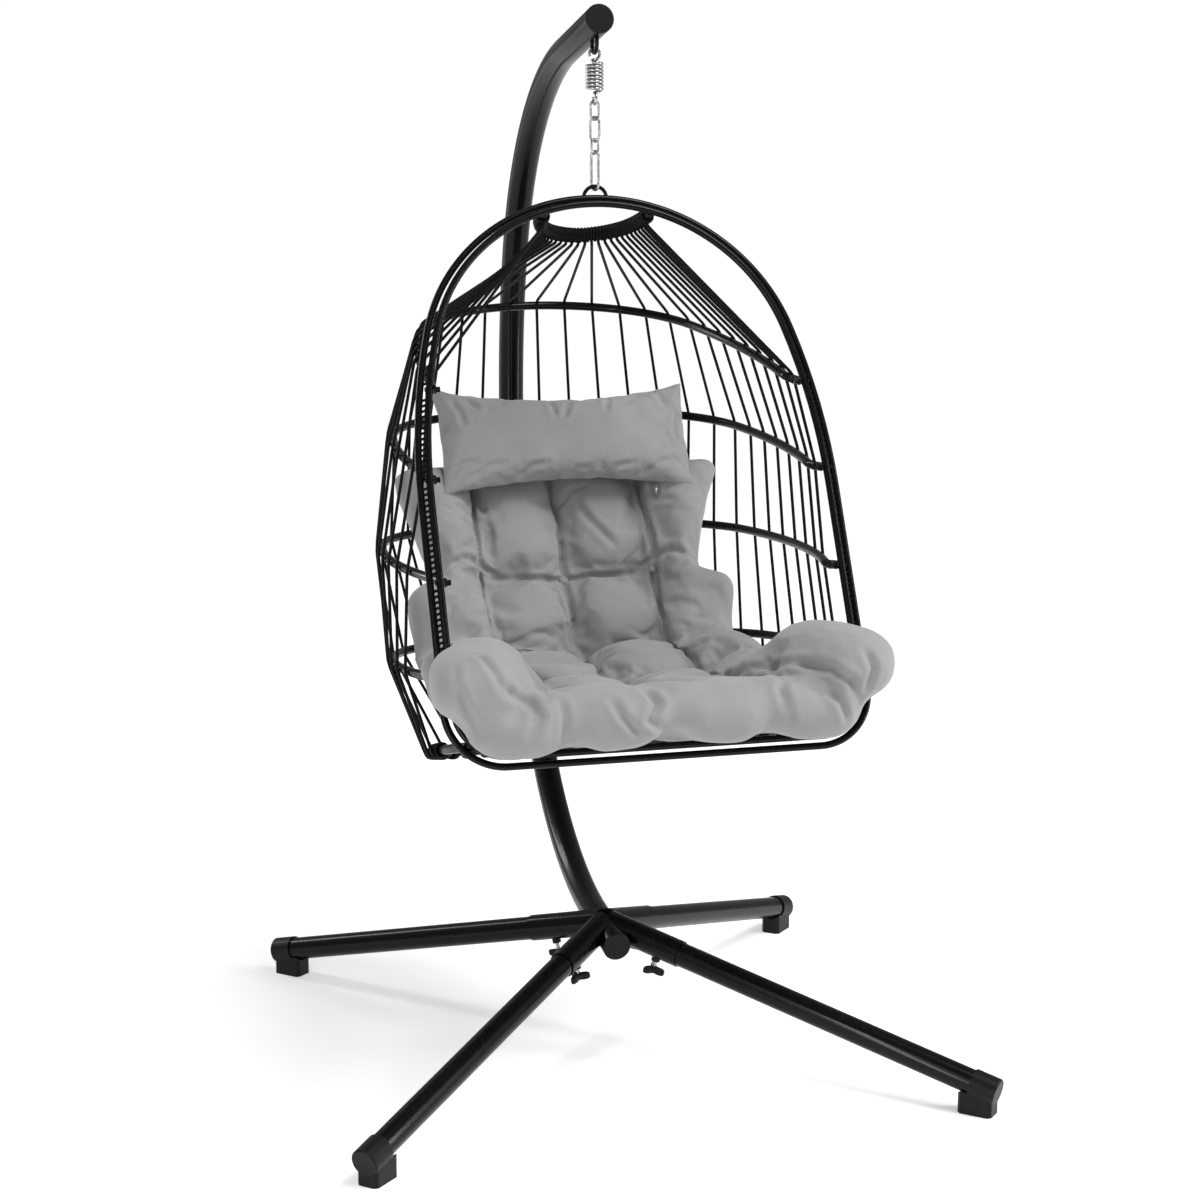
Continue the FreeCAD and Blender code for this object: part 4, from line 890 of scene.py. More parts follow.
class EGGCHAIR_OT_stand(Piece, bpy.types.Operator):
    """Roll the pole's bends, mould the knobs and finish the legs, caps and sockets"""
    bl_idname = "egg_chair.stand"
    bl_label = "Stand"

    def execute(self, context):
        coat, plastic, steel = (self.finish_named(n) for n in ("coat", "plastic", "steel"))
        joint = POLE_JOINT - POLE_JOINT_GAP
        for name, start, end in (("lower_pole", 0.0, joint), ("upper_pole", POLE_JOINT, POLE.length)):
            pole = Shell()
            pole.tube(POLE.points(1.5, start, end), POLE_DIA / 2, 48, soften=1.2)
            pole.made(name + "_tube", coat, "stand", "black_metal", [name], flat_above=40)
        eye = Shell()
        route = Route((-EYE_RADIUS, EYE_LEG), -90, [(EYE_LEG, 0), (EYE_RADIUS, 180), (EYE_LEG, 0)])
        line = [Vector((0, HOOK_Y - p.x, EYE_Z + EYE_RADIUS + p.y)) for p in route.points(10)]
        eye.tube(line, EYE_WIRE / 2, 16)
        eye.made("pole_eye_rod", coat, "stand", "black_metal", ["pole_eye"])
        for node in ("lower_pole_cap", "upper_pole_cap"):
            dress(node, plastic)
        dress("pole_bolts", coat)
        run = Vector((LEG_END[0], 0, LEG_END[1] - LEG_ROOT_Z))
        axis = run.normalized()
        down = Vector((axis.z, 0, -axis.x))
        top = Vector((0, 0, LEG_ROOT_Z)) + axis * KNOB_REACH * run.length / LEG_END[0]
        top += down * (LEG_DIA / 2 + SOCKET_WALL + BOSS_HEIGHT + KNOB_DROP)
        for corner, angle in zip(CORNERS, (-45, 45, 135, -135)):
            for part, finish in (("socket", coat), ("leg", coat), ("foot", plastic), ("knob_screw", steel)):
                dress(corner + "_" + part, finish)
            turn = Matrix.Rotation(math.radians(angle), 3, "Z")
            side, way, other = turn @ axis, turn @ down, turn @ Y_AXIS
            knob = Shell()
            rings = []
            for height, inset in KNOB_PROFILE:
                ring = []
                for k in range(72):
                    t = 2 * math.pi * k / 72
                    lobe = max(0.0, 0.5 + 0.5 * math.cos(3 * t)) ** 2.2
                    reach = KNOB_HUB + KNOB_LOBE * lobe - inset
                    out = side * math.cos(t) + other * math.sin(t)
                    ring.append(turn @ top + out * reach + way * height)
                rings.append(ring)
            knob.loft(rings)
            name = corner + "_knob"
            knob.made(name + "_grip", plastic, name, "black_plastic", [name], flat_above=60)
        return {"FINISHED"}


def hung(name):
    """Where a flat link hangs, stood up and turned."""
    length, width, wire = LINKS[name]
    at = Matrix.Translation((0, HOOK_Y, TOPS[name] - (length - wire) / 2))
    turn = Matrix.Rotation(math.radians(LINK_TURNS[name]), 4, "Z")
    return at @ turn @ Matrix.Rotation(math.radians(90), 4, "X")


class EGGCHAIR_OT_hanging_set(Piece, bpy.types.Operator):
    """Coil the spring and bend the links, hooks and gates"""
    bl_idname = "egg_chair.hanging_set"
    bl_label = "Hanging set"

    def execute(self, context):
        steel = self.finish_named("steel")
        spring = Shell()
        spring.tube(self.spring_wire(), SPRING_WIRE / 2, 14, soften=0.8)
        piece = spring.made("spring_coil", steel, None, "bright_steel", ["spring"])
        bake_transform(piece)
        for name, body in (("long_link", "long_link"), ("chain_link", "basket")):
            length, width, wire = LINKS[name]
            half, side = (width - wire) / 2, (length - width) / 2
            route = Route((half, -side), 90, [(2 * side, 0), (half, 180)] * 2, hung(name))
            link = Shell()
            link.tube(route.points(9)[:-1], wire / 2, 14, closed=True)
            link.made(name + "_wire", steel, body, "bright_steel", [name])
        for name, body in (("carabiner", "carabiner"), ("snap_hook", "basket")):
            gate_body = name + "_gate"
            length, width, wire = LINKS[name]
            place = hung(name)
            half, side, gate = (width - wire) / 2, (length - width) / 2, (length - width) * 0.8
            end = (side - gate / 2, 0)
            route = Route((half, gate / 2), 90, [end, (half, 180), (2 * side, 0), (half, 180), end], place)
            body_wire = Shell()
            body_wire.tube(route.points(9), wire / 2, 16, soften=0.5)
            low = -gate / 2 + wire * 0.65
            ends = [place @ Vector((half, -gate / 2 - 1.0, 0)), place @ Vector((half, low + wire * 0.5, 0))]
            flat = place.to_3x3() @ Z_AXIS
            body_wire.tube(ends, wire * 0.5, 12, squash=[(0.4, 1.0, flat)] * 2, soften=0.4)
            body_wire.made(name + "_wire", steel, body, "bright_steel", [name])
            bar = Shell()
            levels = [low - wire * 0.35, low + wire * 0.2, low + wire, gate / 4, gate / 2 - 0.5]
            radii = [wire * share for share in (0.36, 0.46, 0.46, 0.46, 0.46)]
            bar.tube([place @ Vector((half, y, 0)) for y in levels], radii, 16, soften=0.7)
            bar.made(gate_body + "_bar", steel, gate_body, "bright_steel", [gate_body])
            rivet = Shell()
            profile = [(0, 0.5), (0.15, 1.2), (0.6, 1.4)]
            profile += [(wire + 0.4, 1.4), (wire + 0.85, 1.2), (wire + 1.0, 0.5)]
            rivet.lathe(place @ Vector((half, low, -wire / 2 - 0.5)), flat, profile, 16)
            rivet.made(name + "_rivet_pin", steel, body, "bright_steel", [name + "_rivet"])
        return {"FINISHED"}

    @staticmethod
    def spring_wire():
        """The top loop, the close coil and the bottom loop, a quarter turned."""
        loop, radius, pitch = SPRING_LOOP, SPRING_RADIUS, SPRING_PITCH
        centre = EYE_Z + (EYE_WIRE + SPRING_WIRE) / 2 + LINK_GAP - loop
        points = [Vector((loop * math.cos(math.radians(a)), 0, centre + loop * math.sin(math.radians(a))))
                  for a in range(205, -95, -12)]
        start = centre - loop - pitch * 0.9
        foot = Vector((0, -radius, start))
        points += hermite(points[-1], Vector((-26, 0, 0)), foot, Vector((26, 0, -2)), 10)
        last = 270 + 90 + 360 * SPRING_TURNS
        for a in range(282, last + 1, 12):
            t = math.radians(a)
            height = start - pitch * (a - 270) / 360
            points.append(Vector((radius * math.cos(t), radius * math.sin(t), height)))
        low = points[-1].z - pitch * 0.9
        points += hermite(points[-1], Vector((0, 26, -2)), Vector((0, 0, low)), Vector((0, -26, 0)), 10)
        for a in range(102, 390, 12):
            t = math.radians(a)
            points.append(Vector((0, loop * math.cos(t), low - loop + loop * math.sin(t))))
        return [p + Vector((0, HOOK_Y, 0)) for p in points]


# A rib's flattened end: thickness and half width of the plate, and the round tube's first millimetres
TAB, TAB_HALF, TAB_RUN = 4.0, 8.0, 34
BOLT_HEAD = [(0, 4.6), (0.4, 5.0), (1.6, 4.8), (2.7, 3.6), (3.3, 1.8), (3.5, 0.3)]


class EGGCHAIR_OT_basket_frame(Piece, bpy.types.Operator):
    """Bend the hoops, the ribs, the band, the seat ring and the ring that it all hangs by"""
    bl_idname = "egg_chair.basket_frame"
    bl_label = "Basket frame"

    def execute(self, context):
        coat = self.finish_named("coat")
        hoops = {"outer_hoop": (OUTER_INSET, 0.0), "inner_hoop": (INNER_INSET, HOOP_STAGGER)}
        for name, (inset, lift) in hoops.items():
            hoop = Shell()
            hoop.tube(hoop_route(inset, lift).points(2.0)[:-1], HOOP_TUBE / 2, 20, closed=True)
            hoop.made(name + "_tube", coat, "basket", "black_metal", [name])
        radius = (RING_WIDTH - RING_WIRE) / 2
        place = Matrix.Translation((0, HOOK_Y, HOOP_TOP)) @ Matrix.Rotation(math.radians(90), 4, "X")
        ring = Shell()
        ring.tube(Route((radius, 0), 90, [(radius, 180)], place).points(6), RING_WIRE / 2, 16)
        ring.made("basket_ring_rod", coat, "basket", "black_metal", ["basket_ring"])
        heads = Shell()
        for name, shape in RIBS.items():
            rib = Shell()
            self.bend_rib(rib, BOWS[name])
            hole = HOOP @ Vector((half_width(shape[0], INNER_INSET), -shape[0], HOOP_STAGGER))
            heel = BOWS[name].place @ Vector((0, RIB_START + 10.0, 0))
            for side in (1, -1):
                rib.plate(self.tab_outline(hole, heel, side), X_AXIS * side, TAB, 0.7)
                head = Vector((side * (hole.x + HOOP_TUBE / 2 - 0.6), hole.y, hole.z))
                heads.lathe(head, X_AXIS * side, BOLT_HEAD, 24)
            rib.made(name + "_tube", coat, "basket", "black_metal", [name], flat_above=50)
        heads.made("rib_bolt_heads", coat, "basket", "black_bolts", ["rib_bolts"])
        dress("rib_nuts", coat)
        for name, node, dia in (("band", "top_band", BAND_TUBE), ("seat", "seat_ring", RIB_TUBE)):
            bow = Shell()
            bow.tube(BOWS[name].points(3.0), dia / 2, 18)
            bow.made(node + "_tube", coat, "basket", "black_metal", [node])
        return {"FINISHED"}

    @staticmethod
    def bend_rib(rib, route):
        """A round tube that flattens towards both ends."""
        points, squash = [], []
        stops = [0, 8, 16, 26, 36] + list(range(60, int(route.length) - 59, 12))
        stops += [route.length - s for s in (36, 26, 16, 8, 0)]
        for stop in stops:
            at, ahead, side, up = route.at(stop)
            share = min(1.0, min(stop, route.length - stop) / TAB_RUN)
            share = share * share * (3 - 2 * share)
            points.append(at + side * 6.4 * (1 - share))
            squash.append((0.25 + 0.75 * share, 0.95 + 0.05 * share, side))
        rib.tube(points, RIB_TUBE / 2, 18, squash=squash, soften=0.4)

    @staticmethod
    def tab_outline(hole, heel, side):
        """The bolted plate's outline: round about the bolt, straight towards the rib."""
        middle = Vector((side * (hole.x - HOOP_TUBE / 2 - 5.0), hole.y, hole.z))
        way = Vector((0, heel.y - hole.y, heel.z - hole.z))
        length = way.length
        way.normalize()
        across = X_AXIS.cross(way)
        outline = []
        for k in range(17):
            t = math.pi * (k / 16 - 0.5)
            outline.append(middle - way * TAB_HALF * math.cos(t) + across * TAB_HALF * math.sin(t))
        outline += [middle + way * length + across * TAB_HALF, middle + way * length - across * TAB_HALF]
        return outline


# The lacing: its first rung from the hoop's top, its last from the hoop's foot, the pitch, and the room
# that it leaves a rib's end
LACING_TOP, LACING_FOOT, LACING_PITCH, LACING_ROOM = 372.0, 110.0, 10.4, 8.5
LACING_SHARES = (0.22, 0.4, 0.6, 0.78)
# The windings' pitch and radius, and how far a seat ring's winding reaches to each side of its cord
BAND_WIND, BAND_CORD = 6.9, 3.5
SEAT_WIND, SEAT_CORD, SEAT_REACH = 5.6, 3.0, 6.5
SEAT_CORDS = 12


class EGGCHAIR_OT_cords(Piece, bpy.types.Operator):
    """Lace the hoops, wind the band and the seat ring, and stretch the cage's cords"""
    bl_idname = "egg_chair.cords"
    bl_label = "Cords"

    def execute(self, context):
        finish = self.finish_named("cord")
        radius = self.sizes().cord / MM / 2
        self.lace(finish)
        winding = Shell()
        reach = BOWS["band"].length / 2 - HOOP_TUBE / 2 - 4.0
        winding.tube(helix("band", -reach, reach, BAND_TUBE / 2 + 3.4, BAND_WIND), BAND_CORD, 8)
        winding.made("top_band_winding", finish, "basket", "black_cord", ["top_band_knots"])
        self.stretch(finish, radius)
        bar = HOOP @ Vector((0, -(HOOP_HEIGHT - INNER_INSET), HOOP_STAGGER))
        under = Shell()
        for i in range(SEAT_CORDS):
            run = ((SEAT_CORDS - 1) / 2 - i) * SEAT_PITCH
            end = on_bow("seat", run, -RIB_TUBE / 2 - 0.5)[0]
            start = Vector((end.x, bar.y, bar.z))
            way = (end - start).normalized()
            first = start + way * (HOOP_TUBE / 2 + 0.2)
            under.tube([first, (start + end) / 2 - Z_AXIS * 2.0, end], radius, 10)
        under.made("seat_cords_strands", finish, "basket", "black_cord", ["seat_cords"])
        return {"FINISHED"}

    def lace(self, finish):
        """The rungs between the hoops, down both sides."""
        lacing = Shell()
        squash = [(1.15, 0.8, HOOP.to_3x3() @ Y_AXIS)] * len(LACING_SHARES)
        level = LACING_TOP
        while level < HOOP_HEIGHT - LACING_FOOT:
            if all(abs(level - shape[0]) >= LACING_ROOM for shape in RIBS.values()):
                outer, inner = half_width(level, OUTER_INSET), half_width(level, INNER_INSET)
                for side in (1, -1):
                    start = HOOP @ Vector((side * outer, -level - 1.2, 0))
                    way = HOOP @ Vector((side * inner, -level + 1.2, HOOP_STAGGER)) - start
                    points = [start + way * share for share in LACING_SHARES]
                    lacing.tube(points, self.sizes().rung / MM / 2, 10, squash=squash)
            level += LACING_PITCH
        lacing.made("hoop_lacing_rungs", finish, "basket", "black_cord", ["hoop_lacing"])

    def stretch(self, finish, radius):
        """The cage's cords, from the band over the ribs to the seat ring, and the ring's windings."""
        knots = Shell()
        groups = {"left_cords": Shell(), "back_cords": Shell(), "right_cords": Shell()}
        clear = radius + 0.15
        for i in range(CORDS):
            place = (CORDS - 1) / 2 - i
            run = place * SEAT_PITCH
            wound = helix("seat", run - SEAT_REACH, run + SEAT_REACH, RIB_TUBE / 2 + 3.1, SEAT_WIND, 0.4 + i)
            knots.tube(wound, SEAT_CORD, 8, soften=0.8)
            down = (KNOT_DIA / 2 - 4.0, KNOT_DIA / 2 + clear)
            points = [on_bow("band", place * BAND_PITCH, 0.0, drop)[0] for drop in down]
            crossings = []
            for name in RIBS:
                at, ahead, side, up = on_bow(name, place * RIB_PITCH[name])
                crossings.append((at, ahead, side))
                points.append(at + side * (RIB_TUBE / 2 + clear))
            points.append(on_bow("seat", run, KNOT_DIA / 2 + clear)[0])
            points = points[:1] + self.eased(points[1:], crossings, RIB_TUBE / 2 + clear)
            points.append(on_bow("seat", run, RIB_TUBE / 2 + clear + 2.0, RIB_TUBE / 2 + 1.0)[0])
            points.append(on_bow("seat", run, 2.0, RIB_TUBE / 2 + clear)[0])
            side = "back_cords" if abs(place) < 5.5 else ("left_cords" if place > 0 else "right_cords")
            groups[side].tube(self.rounded(points), radius, 10, soften=0.8)
        knots.made("seat_ring_windings", finish, "basket", "black_cord", ["seat_ring_knots"])
        for name, group in groups.items():
            group.made(name + "_strands", finish, "basket", "black_cord", [name])

    @staticmethod
    def eased(points, crossings, reach):
        """The cord's points, each moved out until both runs that meet there clear the tube by as much."""
        points = list(points)
        for _ in range(3):
            for i, (middle, ahead, out) in enumerate(crossings, 1):
                sides = []
                for run in (points[i] - points[i - 1], points[i + 1] - points[i]):
                    side = run.cross(ahead).normalized()
                    sides.append(side if side.dot(out) > 0 else -side)
                both = (sides[0] + sides[1]).normalized()
                points[i] = middle + both * (reach / both.dot(sides[0]))
        return points

    @staticmethod
    def rounded(points):
        """The line with each bend eased over a few millimetres."""
        out = [points[0]]
        for before, at, after in zip(points, points[1:], points[2:]):
            a = at + (before - at).normalized() * min(9.0, (before - at).length / 3)
            b = at + (after - at).normalized() * min(9.0, (after - at).length / 3)
            out += [a, (a + b) / 4 + at / 2, b]
        return out + [points[-1]]


# Creases in the seat cushion: depth and half width in millimetres, and the line's places in the picture
FOLDS = (
    (9, 9, (505, 690, 528, 700, 540, 716, 532, 735)),
    (7, 7, (478, 655, 492, 668, 503, 690)),
    (6, 7, (455, 668, 462, 700, 480, 738)),
    (11, 10, (628, 684, 638, 700, 630, 722, 622, 752)),
    (9, 8, (645, 690, 658, 704, 650, 722, 664, 728)),
    (7, 7, (612, 700, 622, 716, 640, 736)),
    (11, 9, (686, 672, 692, 700, 690, 724, 696, 746)),
    (6, 7, (716, 676, 726, 700, 722, 720)),
    (7, 8, (768, 664, 782, 690, 790, 718)),
    (9, 8, (748, 668, 775, 667, 805, 664, 832, 668, 852, 682, 860, 700)),
    (6, 7, (828, 690, 842, 704, 848, 722)),
    (6, 7, (865, 650, 874, 668, 866, 690)),
    (5, 7, (560, 700, 566, 720, 562, 742)),
    (6, 7, (575, 500, 590, 520, 615, 545)),
    (5, 6, (480, 500, 490, 530, 492, 556)),
    (5, 6, (556, 596, 568, 622, 572, 648)),
    (5, 6, (645, 505, 668, 498, 700, 504)),
    (12, 9, (655, 476, 655, 486, 655, 498)),
)
# The same for the head pillow
PILLOW_FOLDS = (
    (4, 6, (455, 392, 466, 402, 478, 408)),
    (4, 6, (452, 402, 460, 412, 464, 424)),
    (5, 6, (540, 392, 550, 402, 556, 416)),
    (5, 6, (572, 390, 570, 402, 564, 416)),
    (4, 6, (604, 386, 608, 398, 606, 410)),
    (5, 7, (640, 384, 652, 392, 664, 404)),
    (4, 6, (448, 474, 462, 464, 478, 460)),
    (4, 6, (470, 480, 488, 466, 506, 462)),
    (5, 6, (520, 476, 530, 466, 548, 462)),
    (4, 6, (566, 476, 578, 468, 590, 466)),
    (5, 6, (604, 474, 616, 466, 634, 462)),
    (5, 7, (644, 472, 660, 462, 676, 458)),
    (4, 6, (684, 400, 676, 414, 674, 430)),
    (4, 6, (688, 452, 678, 440, 672, 428)),
)


# The back's plane: its lean, the side panels' wrap, its foot, and the ways up it and out of its face
BACK_LEAN, BACK_WRAP = math.radians(33), math.radians(44)
BACK_FOOT = Vector((0, 222.0, 716.0))
BACK_UP = Vector((0, math.sin(BACK_LEAN), math.cos(BACK_LEAN)))
BACK_FACE = Vector((0, -math.cos(BACK_LEAN), math.sin(BACK_LEAN)))
# The channels' places across the back and the seat, and the height of the cross channel up the back
CHANNELS, CROSS = (-184.0, -6.0, 172.0), 158
SEAT_LEVEL = 690
# One half of the roll's line, the filling under it, and their radii
ROLL = ((314, -262, 802), (320, -335, 806), (310, -385, 792), (276, -402, 766),
        (215, -404, 750), (90, -404, 750))
UNDER_ROLL = [Vector((x, -404, 724)) for x in (-262, -90, 90, 262)]
ROLL_RADIUS, UNDER_RADIUS = 52.0, 36.0
BUTTON = [(0, 7.0), (1.4, 8.6), (2.8, 9.3), (4.4, 8.6), (5.8, 6.4), (6.6, 3.6), (6.9, 0.4)]
# What the cushion lies against
AROUND = ("outer_hoop_tube", "inner_hoop_tube", "middle_rib_tube", "lower_rib_tube", "seat_ring_tube",
          "left_cords_strands", "back_cords_strands", "right_cords_strands", "seat_cords_strands")


def clamp(value):
    return max(0.0, min(1.0, value))


def creases(skin, folds, lens):
    """The folds' lines, cast from the camera on to the cloth."""
    found = []
    for depth, width, line in folds:
        rays = [sight(across, down, lens) for across, down in zip(line[::2], line[1::2])]
        found.append((depth, width, cast(skin, rays)))
    return found


class EGGCHAIR_OT_cushion(Piece, bpy.types.Operator):
    """Stuff the seat cushion, draw in its seams and set its buttons"""
    bl_idname = "egg_chair.cushion"
    bl_label = "Seat cushion"

    def execute(self, context):
        cloth = self.finish_named("cloth")
        sizes = self.sizes()
        grid = sizes.voxel
        obj = soft_copy("seat_cushion_cover", "seat_cushion")
        self.add_roll(obj)
        closed_up(obj, grid, sizes.filled)
        held = neighbours(AROUND)
        modify(obj, "SMOOTH", factor=0.5, iterations=3)
        self.shaped(obj)
        seams = self.seams(skin_of(obj))
        folded(obj, seams, 0.0)
        kept_clear(obj, held, 0.0025)
        tree = line_marks(self.seams(skin_of(obj)))[0]
        pinned = {v.index for v in obj.data.vertices if tree.find(v.co)[2] < sizes.seam}
        self.ruffle(obj.data, pinned)
        inflate(obj, pinned, 5.0, sizes.slack, sizes.swell, held, 18)
        modify(obj, "SUBSURF", levels=1, render_levels=1)
        folded(obj, creases(skin_of(obj), FOLDS, sizes.lens))
        folded(obj, [(5, 4.8, places) for depth, width, places in self.seams(skin_of(obj))], 0.0)
        kept_clear(obj, held, 0.0015)
        obj.data.shade_smooth()
        settle(obj, cloth, "basket", ["seat_cushion"])
        self.buttons(obj, cloth)
        return {"FINISHED"}

    @staticmethod
    def ruffle(mesh, pinned):
        """Moves the cloth a little out of true between the seams, so that it doesn't swell too evenly."""
        def place_of(vertex):
            rise = 0 if vertex.index in pinned else 0.0016 * noise.noise(vertex.co * 20.0)
            return vertex.co + vertex.normal * rise
        shifted(mesh, place_of)

    @staticmethod
    def shaped(obj):
        """Draws in the back's upper corners and lifts the side panels' cross seam, as in the photograph."""
        def place_of(vertex):
            place = vertex.co / MM - SHIFT
            run = (place - BACK_FOOT).dot(BACK_UP)
            side = clamp((abs(place.x) - 150) / 150) if place.y > -150 else 0.0
            share = clamp(run / 410)
            place += BACK_UP * (side * 52.0 * math.sin(math.pi * share) ** 1.5)
            narrow = clamp((share - 0.5) / 0.5)
            place.x *= 1 - 0.05 * side * narrow * narrow * (3 - 2 * narrow)
            place -= BACK_UP * (side * narrow * 22.0 * max(0.0, (abs(place.x) - 230) / 100))
            return (place + SHIFT) * MM
        shifted(obj.data, place_of)

    @staticmethod
    def seams(skin):
        """The sewn channels, front and rear: (depth, half width, places on the cloth)."""
        lines = []

        def add(points, way, depth, width):
            rays = [((p - way * 260 + SHIFT) * MM, way) for p in points]
            places = cast(skin, rays, 0.08)
            if len(places) > 1:
                lines.append((depth, width, places))
        for x in CHANNELS:
            run = [BACK_FOOT + X_AXIS * x + BACK_UP * s for s in range(10, 396, 16)]
            add(run, -BACK_FACE, 11, 7)
            add(run, BACK_FACE, 7, 8)
            run = [Vector((x, y, SEAT_LEVEL)) for y in range(168, -330, -16)]
            add(run, -Z_AXIS, 9, 7)
            add(run, Z_AXIS, 6, 8)
        cross = [BACK_FOOT + X_AXIS * x + BACK_UP * CROSS for x in range(-184, 173, 14)]
        add(cross, -BACK_FACE, 11, 7)
        add(cross, BACK_FACE, 7, 8)
        for side in (1, -1):
            out = Vector((side * math.cos(BACK_WRAP), -math.sin(BACK_WRAP), 0))
            turned = Matrix.Rotation(-side * BACK_WRAP, 3, "Z") @ BACK_FACE
            start = BACK_FOOT + X_AXIS * (side * 178 - 6) + BACK_UP * CROSS
            run = [start + out * t + BACK_UP * min(52.0, t * 0.6) for t in range(0, 150, 12)]
            add(run, -turned, 11, 7)
        add([Vector((x, -60, SEAT_LEVEL)) for x in range(-250, 251, 14)], -Z_AXIS, 9, 7)
        return lines

    @staticmethod
    def add_roll(obj):
        """One long roll, out of the arms and across the front."""
        corners = [Vector(p) for p in ROLL]
        line = corners + [Vector((-p.x, p.y, p.z)) for p in reversed(corners)]
        smooth = [line[0]]
        for i in range(1, len(line)):
            before, after = line[max(0, i - 2)], line[min(len(line) - 1, i + 1)]
            smooth += hermite(line[i - 1], (line[i] - before) / 2, line[i], (after - line[i - 1]) / 2, 5)
        roll = Shell()
        roll.tube(smooth, ROLL_RADIUS, 20)
        roll.tube(UNDER_ROLL, UNDER_RADIUS, 16)
        first = len(obj.data.vertices)
        points = [v.co.copy() for v in obj.data.vertices]
        points += [(Vector(p) + SHIFT) * MM for p in roll.points]
        faces = [list(p.vertices) for p in obj.data.polygons]
        faces += [[first + k for k in face] for face in roll.faces]
        old = obj.data
        obj.data = bpy.data.meshes.new("seat_cushion_cover")
        obj.data.from_pydata(points, [], faces)
        bpy.data.meshes.remove(old)

    @staticmethod
    def buttons(cushion, cloth):
        """A covered button drawn down into each crossing of the seams."""
        skin = skin_of(cushion)
        points = [v.co.copy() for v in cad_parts["tuft_buttons"].data.vertices]
        half = (min(p.x for p in points) + max(p.x for p in points)) / 2
        made = Shell()
        for group in ([p for p in points if p.x < half], [p for p in points if p.x > half]):
            middle = sum(group, Vector()) / len(group)
            hit = skin.ray_cast(middle + BACK_FACE * 0.06, -BACK_FACE, 0.12)[0] or middle
            made.lathe((hit / MM) - SHIFT + BACK_FACE * 0.5, BACK_FACE, BUTTON, 28)
        piece = made.made("tuft_button_covers", cloth, "basket", "grey_fabric", ["tuft_buttons"])


# The pillow's width, height and thickness in metres, its middle and its lean
PILLOW = (0.528, 0.236, 0.092)
PILLOW_AT, PILLOW_LEAN = Vector((10.0, 346.0, 1140.0)), 60
# The ties' places along the rib, from its middle
TIE_RUN = 264.0 + 22.0


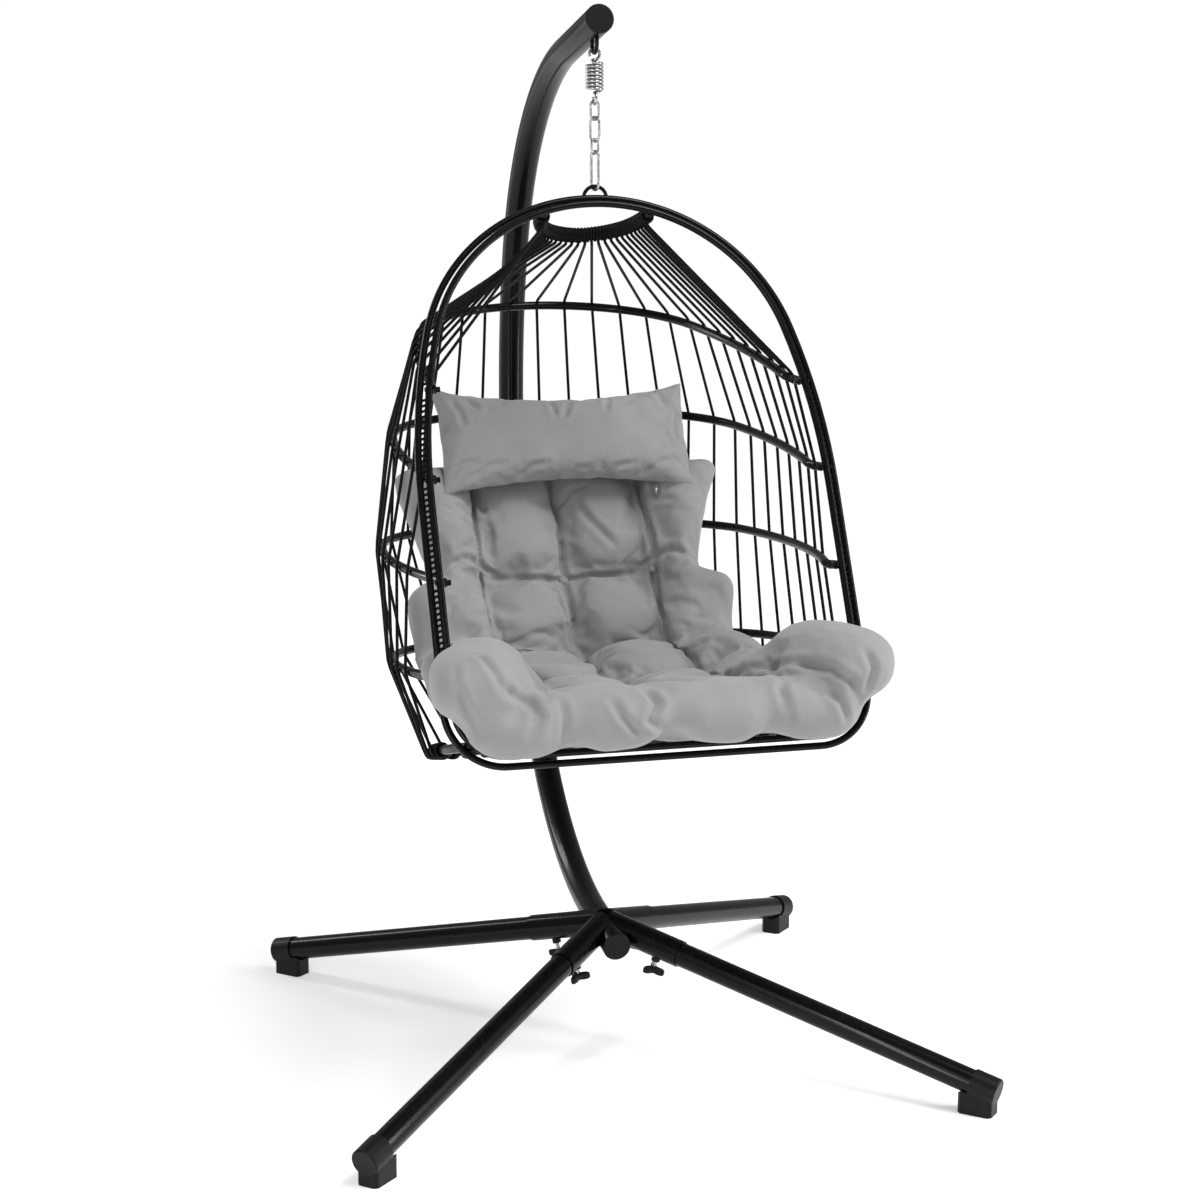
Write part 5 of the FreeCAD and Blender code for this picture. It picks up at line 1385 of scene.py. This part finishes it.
class EGGCHAIR_OT_pillow(Piece, bpy.types.Operator):
    """Fill the head pillow, tie it to the rib and hang its zip pull"""
    bl_idname = "egg_chair.pillow"
    bl_label = "Head pillow"

    def execute(self, context):
        cloth = self.finish_named("cloth")
        obj = bpy.data.objects.new("head_pillow_cover", self.flat_cover())
        context.scene.collection.objects.link(obj)
        inflate(obj, set(), 5.0, 0.02, 0.08, None, 22, 18.0)
        self.lay(obj.data)
        modify(obj, "SUBSURF", levels=1, render_levels=1)
        folded(obj, creases(skin_of(obj), PILLOW_FOLDS, self.sizes().lens))
        obj.data.shade_smooth()
        settle(obj, cloth, "basket", ["head_pillow"])
        self.tie()
        self.hang_pull()
        return {"FINISHED"}

    @staticmethod
    def flat_cover():
        width, height, depth = PILLOW
        across, up = ((104, 48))
        points, faces = [], []
        for side in (1, -1):
            for j in range(up + 1):
                for i in range(across + 1):
                    u, v = 2 * i / across - 1, 2 * j / up - 1
                    swell = 0.08
                    edge = i in (0, across) or j in (0, up)
                    ripple = 0.0015 * noise.noise(Vector((u * 9, v * 4, side * 3.0)))
                    lift = 0.0 if edge else side * swell * depth / 2 + ripple
                    points.append((u * width * 0.535, v * height * 0.55, lift))
        count = (across + 1) * (up + 1)
        seen = {}
        for k in range(len(points)):
            i, j = k % count % (across + 1), k % count // (across + 1)
            seen[k] = k - count if k >= count and (i in (0, across) or j in (0, up)) else k
        used = sorted(set(seen.values()))
        index = {k: n for n, k in enumerate(used)}
        for side in (0, 1):
            for j in range(up):
                for i in range(across):
                    a = side * count + j * (across + 1) + i
                    loop = [a, a + 1, a + across + 2, a + across + 1]
                    faces.append([index[seen[k]] for k in (loop if side == 0 else reversed(loop))])
        mesh = bpy.data.meshes.new("head_pillow_cover")
        mesh.from_pydata([points[k] for k in used], [], faces)
        mesh.update()
        return mesh

    @staticmethod
    def lay(mesh):
        """Brings the filled cover to size, draws in its upper edge and lays it against the rib."""
        low = [min(v.co[k] for v in mesh.vertices) for k in range(3)]
        high = [max(v.co[k] for v in mesh.vertices) for k in range(3)]
        turn = Matrix.Rotation(math.radians(PILLOW_LEAN), 4, "X")
        place = Matrix.Translation((PILLOW_AT + SHIFT) * MM) @ turn
        for vertex in mesh.vertices:
            share = [(vertex.co[k] - low[k]) / (high[k] - low[k]) - 0.5 for k in range(3)]
            x, y, z = (share[k] * PILLOW[k] for k in range(3))
            y -= 0.010 * (1 - (2 * share[0]) ** 2) * max(0.0, share[1] * 2)
            vertex.co = place @ Vector((x, y, z))

    def tie(self):
        """At each end a tape wound once round the rib, and its two short ends."""
        ties = Shell()
        for side in (1, -1):
            run = side * TIE_RUN
            wound = helix("shoulder_rib", run - 3.5, run + 3.5, RIB_TUBE / 2 + 1.8, 3.6)
            ties.tube(wound, 1.7, 8, soften=0.4)
            at, ahead, out, lift = on_bow("shoulder_rib", run)
            start = at - out * 10.0
            for sway in (-1, 1):
                middle = start + ahead * sway * 5 - lift * 6 - out * 2
                end = start + ahead * sway * 7 - lift * 15 - out * 1
                ties.tube([start, middle, end], 3.2, 10, squash=[(0.3, 1.0, out)] * 3, soften=0.3)
        ties.made("pillow_tie_tapes", self.finish_named("tie"), "basket", "black_cord", ["pillow_ties"])

    def hang_pull(self):
        """The zip's tab and the small ring above it."""
        low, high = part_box("zip_pull")
        middle = (Vector(low) + Vector(high)) / 2 / MM - SHIFT
        pull = Shell()
        turns = [math.radians(a) for a in range(-90, 91, 15)]
        outline = [middle + Vector((2.4 * math.sin(t), 0, 4.0 + 2.4 * math.cos(t))) for t in turns]
        outline += [middle + Vector((x, 0, z)) for x, z in ((2.0, -8.0), (0, -9.4), (-2.0, -8.0))]
        pull.plate([p - Y_AXIS * 0.8 for p in outline], Y_AXIS, 1.5, 0.3)
        turns = [2 * math.pi * k / 20 for k in range(20)]
        ring = [middle + Vector((2.0 * math.cos(t), 0, 8.0 + 2.0 * math.sin(t))) for t in turns]
        pull.tube(ring, 0.6, 8, closed=True)
        pull.made("zip_pull_tab", self.finish_named("steel"), "basket", "bright_steel", ["zip_pull"])


class EGGCHAIR_PT_panel(bpy.types.Panel):
    """The chair's sizes, colours and pieces"""
    bl_idname = "EGGCHAIR_PT_panel"
    bl_label = "Egg Chair"
    bl_space_type = "VIEW_3D"
    bl_region_type = "UI"
    bl_category = "Egg Chair"

    def draw(self, context):
        layout = self.layout
        for group in (context.scene.egg_chair_sizes, context.scene.egg_chair_colours):
            for name in group.__annotations__:
                layout.prop(group, name)
        for operator in OPERATORS:
            layout.operator(operator.bl_idname)


OPERATORS = (EGGCHAIR_OT_stage, EGGCHAIR_OT_stand, EGGCHAIR_OT_hanging_set, EGGCHAIR_OT_basket_frame,
             EGGCHAIR_OT_cords, EGGCHAIR_OT_cushion, EGGCHAIR_OT_pillow)
CLASSES = (EggChairSizes, EggChairColours) + OPERATORS + (EGGCHAIR_PT_panel,)


def register():
    for made in CLASSES:
        bpy.utils.register_class(made)
    bpy.types.Scene.egg_chair_sizes = bpy.props.PointerProperty(type=EggChairSizes)
    bpy.types.Scene.egg_chair_colours = bpy.props.PointerProperty(type=EggChairColours)


def unregister():
    del bpy.types.Scene.egg_chair_colours
    del bpy.types.Scene.egg_chair_sizes
    for made in reversed(CLASSES):
        bpy.utils.unregister_class(made)


def main():
    register()
    ops = bpy.ops.egg_chair
    for step in (ops.stage, ops.stand, ops.hanging_set, ops.basket_frame, ops.cords, ops.cushion, ops.pillow):
        step()


if __name__ == "__main__":
    main()
